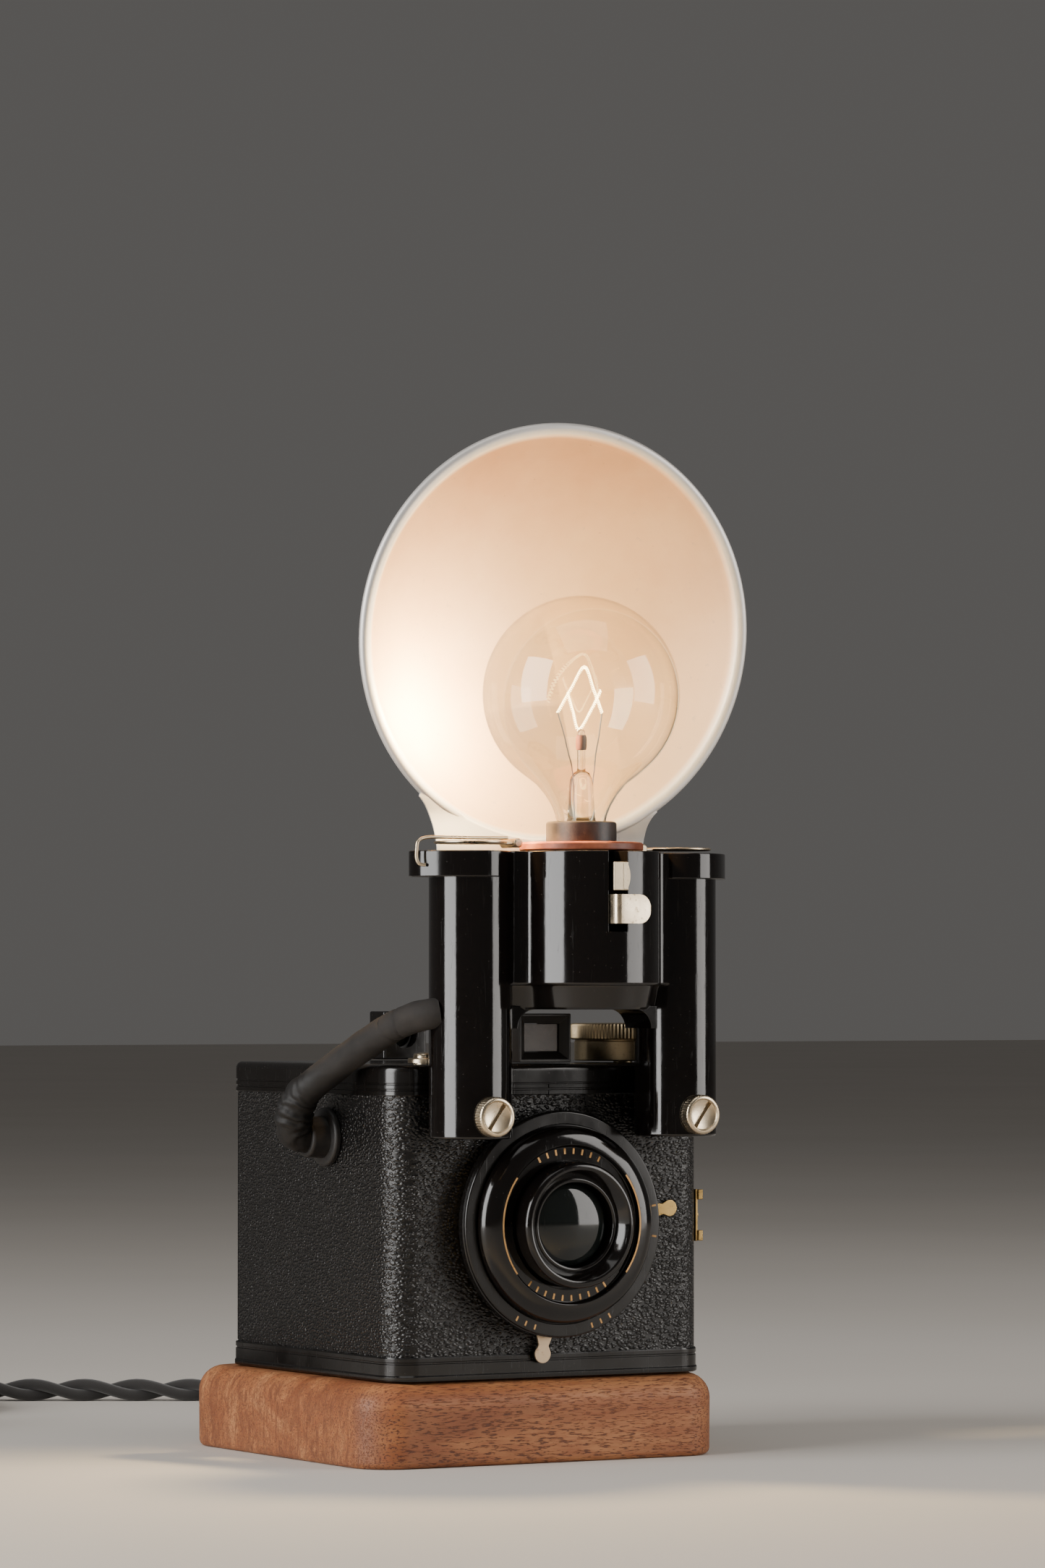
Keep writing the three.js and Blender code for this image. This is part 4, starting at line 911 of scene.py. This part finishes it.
def finder():
    """The hood in front, its pane, and the eyepiece behind."""
    hood = solid("hood", block(-10.4, 8.4, 2, 18, DECK, 140.2, 0.35))
    mouth = loft([frame_ring(-9.7, 7.7, 125.75, 139.5, 1.9), frame_ring(-9.5, 7.5, 125.95, 139.3, 2.4),
                  frame_ring(-7.3, 5.3, 128.1, 137.1, 4.3), frame_ring(-7.2, 5.2, 128.2, 137, 20)])
    finish(cut(hood, mouth), SATIN, "finder_hood", sharp=20)
    pane = slab(rounded(-7.1, 5.1, 128.3, 136.9, 0.4, n=3), 4.9, 6, 0.15, 0.15, 2,
                put=lambda u, v, w: (u, w, v))
    finish(solid("finder_pane", pane), FROSTED, "finder_glass")
    funnel = [(0, -105.2), (5.9, -105.2), (4.5, -104), (0, -104)]
    eye = cut(solid("eye_block", block(-8, 8, 95, 105, DECK, 140.6, 0.6)), rod_y(0, EYE_Z, 4.5, 94, 106),
              turned(funnel, 0, 0, EYE_Z, 48, "front"))
    finish(eye, ENAMEL, "finder_eyepiece")
    disc = [(0, -100.4), (3.7, -100.4), (4.1, -100), (4.1, -99.4), (3.7, -99), (0, -99)]
    finish(solid("eye_lens", turned(disc, 0, 0, EYE_Z, 48, "front")), LENS_GLASS, "eyepiece_glass")


def knob_and_button():
    teeth = 92
    profile = [(0, 108.35), (3, 108.35), (3, 125.1), (15.2, 125.1), (15.5, 125.4), (15.5, 131.2),
               (15.3, 131.5), (15.3, 131.8), (16.2, 131.8), (16.8, 132.2), (16.9, 132.5), (16.9, 136.2),
               (16.5, 136.8), (15.8, 137), (12, 137), (11.4, 136.8), (10.6, 136.1), (10, 136), (4, 136),
               (3.6, 136.2), (0, 136.4)]
    knob = turned(profile, KNOB["x"], KNOB["y"], 0, teeth * 4, ripple=knurl(teeth, 0.36, 16.4))
    finish(solid("winder_knob", knob), WORN_NICKEL, "winding_knob", body="winder")
    collar = [(3.85, DECK), (5.2, DECK), (5.2, 126.05), (4.9, 126.4), (4.2, 126.4), (3.85, 126.1)]
    ring = turned(collar, BUTTON["x"], BUTTON["y"], 0, 64, closed=True)
    finish(solid("button_ring", ring), NICKEL, "button_collar")
    plunger = [(0, 117), (3.5, 117), (3.5, 127), *arc(2.7, 127.1, 0.8, 0.8, 0, 90, 5), (1.6, 128.1),
               (0, 128.25)]
    button = solid("shutter_button", turned(plunger, BUTTON["x"], BUTTON["y"], 0, 48))
    finish(button, NICKEL, "release_button", body="release_button")


finder()
knob_and_button()


# ---- flash holder


def holder_outline(inset):
    """Plan of the holder's middle: drum, tubes and the fillets between them, flat behind."""
    tube_r, drum_r, fillet = TUBE["radius"] - inset - 0.03, DRUM["radius"] - inset, 5 + inset
    a, b = tube_r + fillet, drum_r + fillet
    dx, dy = -TUBE["x"], DRUM["y"] - TUBE["y"]
    d = hypot(dx, dy)
    along = (a * a - b * b + d * d) / (2 * d)
    aside = sqrt(a * a - along * along)
    fx = TUBE["x"] + (along * dx - aside * dy) / d
    fy = TUBE["y"] + (along * dy + aside * dx) / d
    on_tube = degrees(atan2(fy - TUBE["y"], fx - TUBE["x"])) % 360
    on_drum = degrees(atan2(fy - DRUM["y"], fx)) % 360
    right = arc(0, DRUM["y"], drum_r, drum_r, 270, on_drum if on_drum > 270 else on_drum + 360, 48)
    leave, meet = on_drum + 180, on_tube + 180
    onward = on_tube if on_tube < 270 else on_tube - 360
    right += arc(fx, fy, fillet, fillet, leave, meet if meet < leave else meet - 360, 14)[1:]
    right += arc(TUBE["x"], TUBE["y"], tube_r, tube_r, onward, 270, 8)[1:]
    right += [(TUBE["x"], TUBE["y"]), (TUBE["x"], TUBE["y"] + tube_r)]
    left = [(-x, y) for x, y in reversed(right[1:])]
    return right + left


def lip_outline(side):
    """The ear round the top of a tube: a circle drawn out to a rounded nose on its outer side."""
    centre, radius, reach, heading, spread, count = 37.9, 13.7, 4.8, 0.31, 0.62, 120
    points = []
    for i in range(count):
        t = 2 * pi * i / count
        away = (t - heading + pi) % (2 * pi) - pi
        r = radius + reach * exp(-(away / spread) ** 2)
        points.append((side * (centre + r * cos(t)), TUBE["y"] + r * sin(t)))
    return points[::side]


def arch_corner(side):
    """A fillet between a tube and the underside of the holder's middle."""
    inner, z, r = TUBE["x"] - TUBE["radius"], DRUM["boss"], 6
    outline = [(inner + 2, z - r), (inner + 2, z + 1), (inner - r, z + 1)]
    outline += arc(inner - r, z - r, r, r, 90, 0, 12)
    return slab(outline, TUBE["y"] - 7, TUBE["y"] + 9, put=lambda u, v, w: (side * u, w, v))


def flash_holder():
    """One moulding: a drum between two tubes, bored for the tubes, the socket, the screws and the wire."""
    x, y, r, top = TUBE["x"], TUBE["y"], TUBE["radius"], TUBE["top"]
    holder = solid("holder", slab(holder_outline(0), DRUM["bottom"], top, 0.4, 0.9))
    boss = [(4.2, DRUM["boss"]), (3.6, DRUM["boss"] + 0.7), (DRUM["inset"], DRUM["bottom"] - 0.8),
            (1.2, DRUM["bottom"] + 2)]
    parts = [loft([[(u, v, z) for u, v in holder_outline(inset)] for inset, z in boss])]
    for side in (-1, 1):
        foot = [(0, TUBE["bottom"]), (r - 0.7, TUBE["bottom"]),
                *arc(r - 0.7, TUBE["bottom"] + 0.7, 0.7, 0.7, -90, 0, 4)]
        crown = [*arc(r - 0.4, top - 0.4, 0.4, 0.4, 0, 90, 3), (0, top)]
        parts.append(turned([*foot, *crown], side * x, y, 0, 160))
        parts.append(slab(lip_outline(side), 182.5, top, 0.4, 0.3, 3))
        parts.append(arch_corner(side))
    combine(holder, "UNION", *parts)
    bores = [post(side * x, y, TUBE["bore"], 104.8, top + 1, 96) for side in (-1, 1)]
    holes = [rod_y(side * x, SCREW_Z, 2.3, y - r - 1, y + r + 1, 32) for side in (-1, 1)]
    slot = block(-5.7, 0.7, DRUM["y"] - DRUM["radius"] - 1, SOCKET_Y - 8, 165.5, top + 1, 0)
    wire_ways = [rod_x(y, 140.4, 3.7, -x - r - 1, -x, 32), rod_x(-16, 156, 3.1, -x, -6, 32)]
    cut(holder, *bores, *holes, post(0, SOCKET_Y, 12.6, 152.5, top + 1, 96), slot, *wire_ways)
    finish(holder, BAKELITE, "flash_holder", sharp=28)


def ejector():
    """A springy strip from inside the drum, bent round to a finger tab in front."""
    front = DRUM["y"] - DRUM["radius"]
    line = [(-4.85, SOCKET_Y - 13), (-4.85, front - 1.2)]
    line += arc(-3.4, front - 1.4, 1.45, 1.45, 180, 270, 8)
    across = (-2, 0, 2, 3.4, 4.6, 5.6, 6.4, 7.1, 7.5, 7.75)
    line += [(x, front - 2.85 + 0.012 * (x + 3.4) ** 2) for x in across]
    width, round_from, thickness, height = 4.5, 3.4, 0.42, 172.5
    rings = []
    for i, (x, y) in enumerate(line):
        a, b = Vector(line[max(i - 1, 0)]), Vector(line[min(i + 1, len(line) - 1)])
        ahead = (b - a).normalized()
        nx, ny = ahead.y * thickness, -ahead.x * thickness
        rounding = sqrt(max(width ** 2 - (x - round_from) ** 2, 0.6))
        half = width if x < round_from else rounding
        ring = []
        for s, d in ((-1, -1), (-0.93, -1), (0.93, -1), (1, -1), (1, 1), (0.93, 1), (-0.93, 1), (-1, 1)):
            ring.append((x + nx * d, y + ny * d, height + half * s))
        rings.append(ring)
    finish(solid("ejector_strip", loft(rings)), NICKEL, "ejector_lever", body="ejector_lever", sharp=40)

    blade = block(-5, 0.2, front - 1.3, front - 0.5, 178.2, 187, 0.25)
    bow = []
    for i in range(11):
        edge, z = -0.2 + 0.9 * sin(pi * i / 10), 178.6 + 8 * i / 10
        corners = ((edge, -1), (edge, 1), (-1.6, 1), (-1.6, -1))
        bow.append([(x, front - 1.25 + 0.25 * j, z) for x, j in corners])
    finish(solid("contact_tab", blade, loft(bow)), NICKEL, "upper_tab", sharp=40)


def caps_and_wire():
    """Hinged discs over the tubes, and the bent wire over the left one."""
    y, top = TUBE["y"], TUBE["top"]
    dome = [(0, 0), (10.9, 0), (11.4, 0.35), (11.35, 0.7), (11.1, 0.85), (9.5, 0.9), (8.9, 0.55), (8, 0.5),
            (0, 0.6)]
    barrel = [(0, -5), (1.1, -5), (1.45, -4.7), (1.45, 4.7), (1.1, 5), (0, 5)]
    for name, side, z, node in (("cap_left", -1, top + 2.2, "left_cap"),
                                ("cap_right", 1, top + 0.9, "right_cap")):
        hinge_x = side * 22.6
        disc = turned([(r, z + h) for r, h in dome], side * TUBE["x"], y, 0, 96)
        roll = turned([(r, h - y) for r, h in barrel], hinge_x, 0, z + 0.4, 24, "front")
        strap = block(min(hinge_x, side * 28), max(hinge_x, side * 28), y - 4, y + 4, z, z + 0.5, 0.1)
        finish(solid(name, disc, roll, strap), NICKEL, node, body=node, sharp=40)
    wire = [(-24.5, y - 1.2, 194.7), (-34, y - 1.6, 194.6), (-46, y - 2, 194.6), (-53.5, y - 2.1, 194.5),
            (-56.6, y - 2.2, 193.4), (-57.2, y - 2.2, 191), (-57.2, y - 2.2, 187.9),
            (-56.4, y - 2.6, 186.3), (-54.6, y - 3, 186)]
    bail = solid("wire_bail", tube(smooth_line(wire, 0.6), 0.55, 12))
    finish(bail, NICKEL, "bail_wire", body="left_cap", sharp=60)


def thumb_screws():
    """Knurled heads with a slot, on shanks that go back through the tubes into the camera."""
    teeth, slot_angle = 44, radians(55)
    f = TUBE["radius"] - TUBE["y"] + 0.35
    profile = [(0, -4.5), (1.9, -4.5), (1.9, f), (5.7, f), (6.1, f + 0.4), (6.15, f + 0.6), (6.15, f + 3.3),
               (5.9, f + 3.8), (5.6, f + 4.05), (5.1, f + 4.1), (4.85, f + 3.9), (4.7, f + 3.5),
               (4.3, f + 3.25), (2.5, f + 2.95), (0, f + 2.85)]
    for name, x in (("thumb_screw_left", -TUBE["x"]), ("thumb_screw_right", TUBE["x"])):
        head = turned(profile, x, 0, SCREW_Z, teeth * 4, "front", knurl(teeth, 0.16, 6))
        screw = solid(name + "_knurled", head)
        c, s = cos(slot_angle), sin(slot_angle)
        put = lambda u, v, w: (x + u * c - v * s, -w, SCREW_Z + u * s + v * c)
        slot = slab([(-4.6, -0.72), (4.6, -0.72), (4.6, 0.72), (-4.6, 0.72)], f + 1.9, f + 9, put=put)
        finish(cut(screw, slot), NICKEL, name, body=name, sharp=35)


flash_holder()
ejector()
caps_and_wire()
thumb_screws()


# ---- socket, bulb and reflector


def coiled_wire(points):
    """The filament: fine wire wound in a close coil along the points."""
    pitch, coil, wire = 0.625, 0.42, 0.12
    return tube(helix(smooth_line(points, wire), pitch, coil), wire, 5)


def bulb_turned(profile, sides, **options):
    """A round piece about the bulb's axis."""
    return turned(profile, 0, SOCKET_Y, 0, sides, **options)


def socket_and_bulb():
    y = SOCKET_Y
    chipped = lambda t, r, h: 0.12 * noise.noise(Vector((cos(t) * 6, sin(t) * 6, h))) if r > 18 else 0
    plate = [(11.35, 190.9), (19, 190.9), (19.3, 191.2), (19.3, 192.9), (18.9, 193.4), (18.4, 193.5),
             (11.35, 193.5)]
    washer = bulb_turned(plate, 128, ripple=chipped, closed=True)
    finish(solid("fibre_washer", washer), FIBRE, "fibre_plate")
    holder = [(0, 162), (11, 162), (11, 199.2), (10.8, 199.7), (10.3, 200), (8.7, 200), (8.4, 199.7),
              (8.4, 172), (0, 172)]
    finish(solid("socket_shell", bulb_turned(holder, 96)), SOCKET_BLACK, "lamp_socket")
    base = [(0, 175), (2.4, 175), (3, 175.6), (5, 176), (7.2, 178), (7.6, 179), (7.6, 196.2), (7.3, 196.65),
            (0, 196.65)]
    finish(solid("bulb_cap", bulb_turned(base, 64)), BRASS, "bulb_base", body="bulb")

    def wall(shrink):
        """The globe's outline from its neck to its top, moved inwards."""
        neck, r = BULB["neck"] - shrink, BULB["radius"] - shrink
        flare = ((0, 197), (0.05, 199.5), (0.5, 202), (1.7, 205), (3.7, 208.3), (6.4, 211.6))
        return [(neck + out, z) for out, z in flare] + arc(0, BULB["z"], r, r, -52, 90, 30)

    shell = bulb_turned([*wall(0), *reversed(wall(0.55))], 96, closed=True)
    finish(solid("globe", shell), GLASS, "bulb_glass", body="bulb", sharp=70)

    flare = [(0, 197.4), (5.5, 197.4), (5.2, 198.5), (4.4, 201), (4.05, 206), (3.9, 210), (3.5, 213.5),
             (2.6, 215.6), (1.4, 216.3), (1.3, 217), (1.25, 227.2), (1.0, 228.4), (0, 229)]
    finish(solid("glass_stem", bulb_turned(flare, 48)), GLASS, "bulb_stem", body="bulb", sharp=60)
    bead = [(0, 222.2), (1.5, 222.4), (1.7, 223.2), (1.7, 226.2), (1.4, 227), (0, 227.2)]
    finish(solid("stem_bead", bulb_turned(bead, 24)), BEAD, body="bulb", slot="fibre")
    left = [(-2.2, y - 0.6, 199), (-3.2, y - 1.2, 207), (-4.7, y - 2.5, 216.2), (-7, y - 4, 221),
            (-9.5, y - 5.5, 227), (-12, y - 6, 233.5)]
    right = [(2.2, y, 199), (3.4, y, 207), (4.7, y, 216.2), (4.9, y - 0.5, 221), (5.6, y - 1.4, 227),
             (6, y - 2.5, 234)]
    wires = solid("support_wires", *[tube(smooth_line(wire, 1), 0.22, 8) for wire in (left, right)])
    finish(wires, STEEL, body="bulb", sharp=60, slot="steel")

    front = [(-12, y - 6, 233.5), (-7.5, y - 6.5, 241), (-3, y - 7, 247.8), (1.5, y - 5, 241),
             (6, y - 2.5, 234)]
    finish(solid("filament_front", coiled_wire(front)), GLOW, "filament", body="bulb", sharp=60)
    back = [(-1.5, y + 6, 240.5), (0.8, y + 6.5, 234.6), (3.2, y + 7, 229), (7, y + 6, 235),
            (9.8, y + 4.5, 241.5)]
    finish(solid("filament_back", coiled_wire(back)), GLOW, "filament_loop", body="bulb", sharp=60)


def aimed(shape):
    """Turns a shape made about the dish's own axis to where the dish faces."""
    nod, turn = radians(DISH["nod"]), radians(-DISH["turn"])
    points = []
    for x, y, z in shape[0]:
        y, z = y * cos(nod) - z * sin(nod), y * sin(nod) + z * cos(nod)
        x, y = x * cos(turn) - y * sin(turn), x * sin(turn) + y * cos(turn)
        points.append((x, y + DISH["y"], z + DISH["z"]))
    return points, shape[1]


def neck_edge(x, fillet, z):
    """How far the neck's edge is from the middle at height z: straight, then rounded into the rim."""
    rim = DISH["lip"] + 2.2
    drop = sqrt((rim + fillet) ** 2 - (x + fillet) ** 2)
    start = DISH["z"] - drop
    meets = DISH["z"] - drop * rim / (rim + fillet)
    t = min(max(z, start), meets) - start
    return x + fillet - sqrt(fillet ** 2 - t ** 2) - 3 * max(z - meets, 0)


def neck_sheet():
    """The sheet below the dish: flat where it goes into its guide, and in the rim's plane at the top."""
    nod, turn = radians(DISH["nod"]), radians(DISH["turn"])
    columns = 28
    rings = []
    for z in (184, 186, 188, 190, 192, 194, *range(195, 212)):
        left, right = -neck_edge(38.9, 16, z), neck_edge(35.8, 8, z)
        ease = eased(z, 191, 204)
        ring = []
        for side in (-1, 1):
            for i in range(columns + 1):
                x = left + (right - left) * (i if side < 0 else columns - i) / columns
                rim = DISH["y"] + 0.8 + (DISH["z"] - z) * tan(nod) - x * tan(turn)
                edge = 0.25 if i in (0, columns) else 0.55
                ring.append((x, 4 + (rim - 4) * ease + side * edge, z))
        rings.append(ring)
    return loft(rings)


def reflector():
    lip, depth, sheet = DISH["lip"], DISH["depth"], DISH["sheet"]
    hollow = lambda r: -depth * (1 - (r / lip) ** 2)
    stations = [0, 2, 5, *range(9, 62, 4), 62.5]
    inside = [(r, hollow(r)) for r in stations]
    bead = [(63, -0.95), (63.6, -0.45), (64.4, -0.1), (65.2, 0), (66, -0.2), (66.5, -0.6), (66.8, -1.2),
            (66.8, -1.9), (66.4, -2.5), (65.8, -2.8), (65, -2.7), (64.5, -2.3)]
    outside = [(r, hollow(r) - sheet) for r in reversed(stations)]
    bowl = aimed(turned([*inside, *bead, *outside], 0, 0, 0, 160, "front"))
    finish(solid("dish", bowl), ALUMINIUM, "reflector", body="reflector", sharp=50)

    neck = solid("dish_neck", neck_sheet(), block(-13, 13, 3.4, 4.6, 152, 186, 0.25))
    space = [*[(r, hollow(r) - 0.3) for r in stations], (lip, 0.4), (lip, 60), (0, 60)]
    mouth = aimed(turned(space, 0, 0, 0, 96, "front"))
    finish(cut(neck, mouth), ALUMINIUM, body="reflector", sharp=40, slot="aluminium")

    walls = ((-15.5, 15.5, -0.15, 3.05), (-15.5, -13.5, 0, 6.6), (13.5, 15.5, 0, 6.6),
             (-15.5, -9.5, 4.95, 6.6), (9.5, 15.5, 4.95, 6.6))
    guide = [block(*wall, 154, 178, 0.2) for wall in walls]
    finish(solid("dish_guide", *guide), STEEL, "reflector_channel")


socket_and_bulb()
reflector()


# ---- wiring outside the camera


def wiring():
    wall, hole = -BODY["half"], (GROMMET["y"], GROMMET["z"])

    def on_wall(profile):
        points, faces = turned(profile, 0, 0, 0, 64, closed=True)
        return [(wall - z, hole[0] + x, hole[1] + y) for x, y, z in points], faces

    flange = [(3.2, 0.35), (9.3, 0.35), (9.3, 1.1), *arc(8.2, 1.1, 1.1, 1.1, 0, 90, 6), (6, 2.5),
              (5.2, 2.7), (3.2, 2.7)]
    finish(solid("grommet", on_wall(flange)), RUBBER, "side_grommet", sharp=40)
    boot = [(3.6, 2.5), (6.7, 2.5), (6.5, 4), (6.4, 7.2), *arc(5.4, 7.2, 1, 1.2, 0, 90, 5), (3.6, 8.4)]
    finish(solid("grommet_boot", on_wall(boot)), RUBBER, sharp=40, slot="black_rubber")

    route = [(wall - 2.5, *hole), (wall - 8, *hole), (-68.5, 42.6, 102.9), (-69.8, 40, 109.3),
             (-68.6, 36, 115.4), (-65, 27, 121.8), (-60, 14, 129.8), (-55.8, 1.5, 136.2),
             (-53.2, -7.5, 139.1), (-50.9, -12.4, 140.1), (-48, -14, 140.6)]
    line = smooth_line(route, 0.45)

    def radius(s, t):
        """Fuller and pleated at the elbow, creased near the holder; s is along it and t round it."""
        bend = exp(-((s - 17) / 8.5) ** 2)
        drift = 0.6 * noise.noise(Vector((s * 0.25, 2 * cos(t), 2 * sin(t))))
        pleat = 0.42 * bend * sin(2 * pi * (s / 3.4 + drift))
        crease = -0.5 * exp(-((s - 66 - 1.6 * sin(t + 1)) / 0.35) ** 2)
        crease -= 0.4 * exp(-((s - 70.5 + 1.4 * sin(t)) / 0.35) ** 2)
        lump = 0.3 * noise.noise(Vector((s * 0.16, cos(t), sin(t))))
        return 4.75 + 1.15 * bend + pleat + crease + lump

    finish(solid("lead_sleeve", tube(line, radius, 40)), SLEEVING, "wire_sleeve", sharp=60)


wiring()


# ---- CAD nodes that stay, in finished looks

KEPT = {"hinge_pin": STEEL, "film_frame": DARK_METAL, "shutter_plate": STEEL, "supply_spool": DARK_METAL,
        "takeup_spool": DARK_METAL, "screw_insert_left": BRASS, "screw_insert_right": BRASS,
        "inner_lead": RUBBER}
for node, paint in KEPT.items():
    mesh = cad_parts[node].data
    mesh.materials.clear()
    mesh.materials.append(paint)


# ---- floor and light


# Distances and sizes are in metres; the azimuth is from the camera's own heading.
SOFTBOXES = {
    "left_softbox": {"azimuth": -56, "distance": 1.5, "height": 0.5, "size": (0.95, 1.5), "power": 48,
                     "colour": (1, 0.99, 0.98)},
    "right_softbox": {"azimuth": 78, "distance": 1.7, "height": 0.5, "size": (0.95, 1.5), "power": 26,
                      "colour": (1, 0.96, 0.92)},
    "top_softbox": {"azimuth": 10, "distance": 0.6, "height": 1.9, "size": (1.4, 1.4), "power": 9,
                    "colour": (1, 0.98, 0.95)},
}
ROOM_COLOUR, ROOM_STRENGTH = (0.78, 0.75, 0.72, 1), 0.13
GLOW_PLACE = (-34, -5, 236)  # design millimetres, between the bulb and the dish's left half
GLOW_POWER, GLOW_COLOUR, GLOW_RADIUS = 3.5, (1, 0.72, 0.36), 0.006
FLOOR_HALF = 12
LAMP_MIDDLE = Vector((0, 0, 0.16))


def stage():
    """A plain pale floor."""
    p = Paint("floor")
    shade = p.noise(3, 4)
    paint = p.surface(base_color=p.mix(shade, "#cfc9c2", "#c4beb6"), roughness=0.65,
                      normal=p.bump(p.noise(300, 3), 0.1, 0.3))
    mesh = bpy.data.meshes.new("floor")
    corners = ((-1, -1), (1, -1), (1, 1), (-1, 1))
    mesh.from_pydata([(x * FLOOR_HALF, y * FLOOR_HALF, 0) for x, y in corners], [], [(0, 1, 2, 3)])
    mesh.materials.append(paint)
    floor = add("floor", mesh)


def softbox(name, azimuth, distance, height, size, power, colour):
    """A soft light, placed by its angle from the camera's own heading and aimed at the lamp's middle."""
    data = bpy.data.lights.new(name, "AREA")
    data.shape, data.size, data.size_y = "RECTANGLE", *size
    data.energy, data.color = power, colour
    light = add(name, data)
    towards = radians(90) - HEADING + pi + radians(azimuth)
    light.location = (distance * cos(towards), distance * sin(towards), height)
    light.rotation_euler = (LAMP_MIDDLE - light.location).to_track_quat("-Z", "Y").to_euler()


def lights():
    """Two tall softboxes, a weak one overhead, and the lamp's own warm light in front of the dish."""
    world = bpy.data.worlds.new("studio")
    world.use_nodes = True
    background = world.node_tree.nodes["Background"]
    background.inputs["Color"].default_value = ROOM_COLOUR
    background.inputs["Strength"].default_value = ROOM_STRENGTH
    bpy.context.scene.world = world
    for name, settings in SOFTBOXES.items():
        softbox(name, **settings)

    data = bpy.data.lights.new("lamp_light", "POINT")
    data.energy, data.color, data.shadow_soft_size = GLOW_POWER, GLOW_COLOUR, GLOW_RADIUS
    glow = add("lamp_light", data)
    glow.location = at(*GLOW_PLACE)
    glow.visible_camera = glow.visible_transmission = glow.visible_glossy = False


stage()
lights()
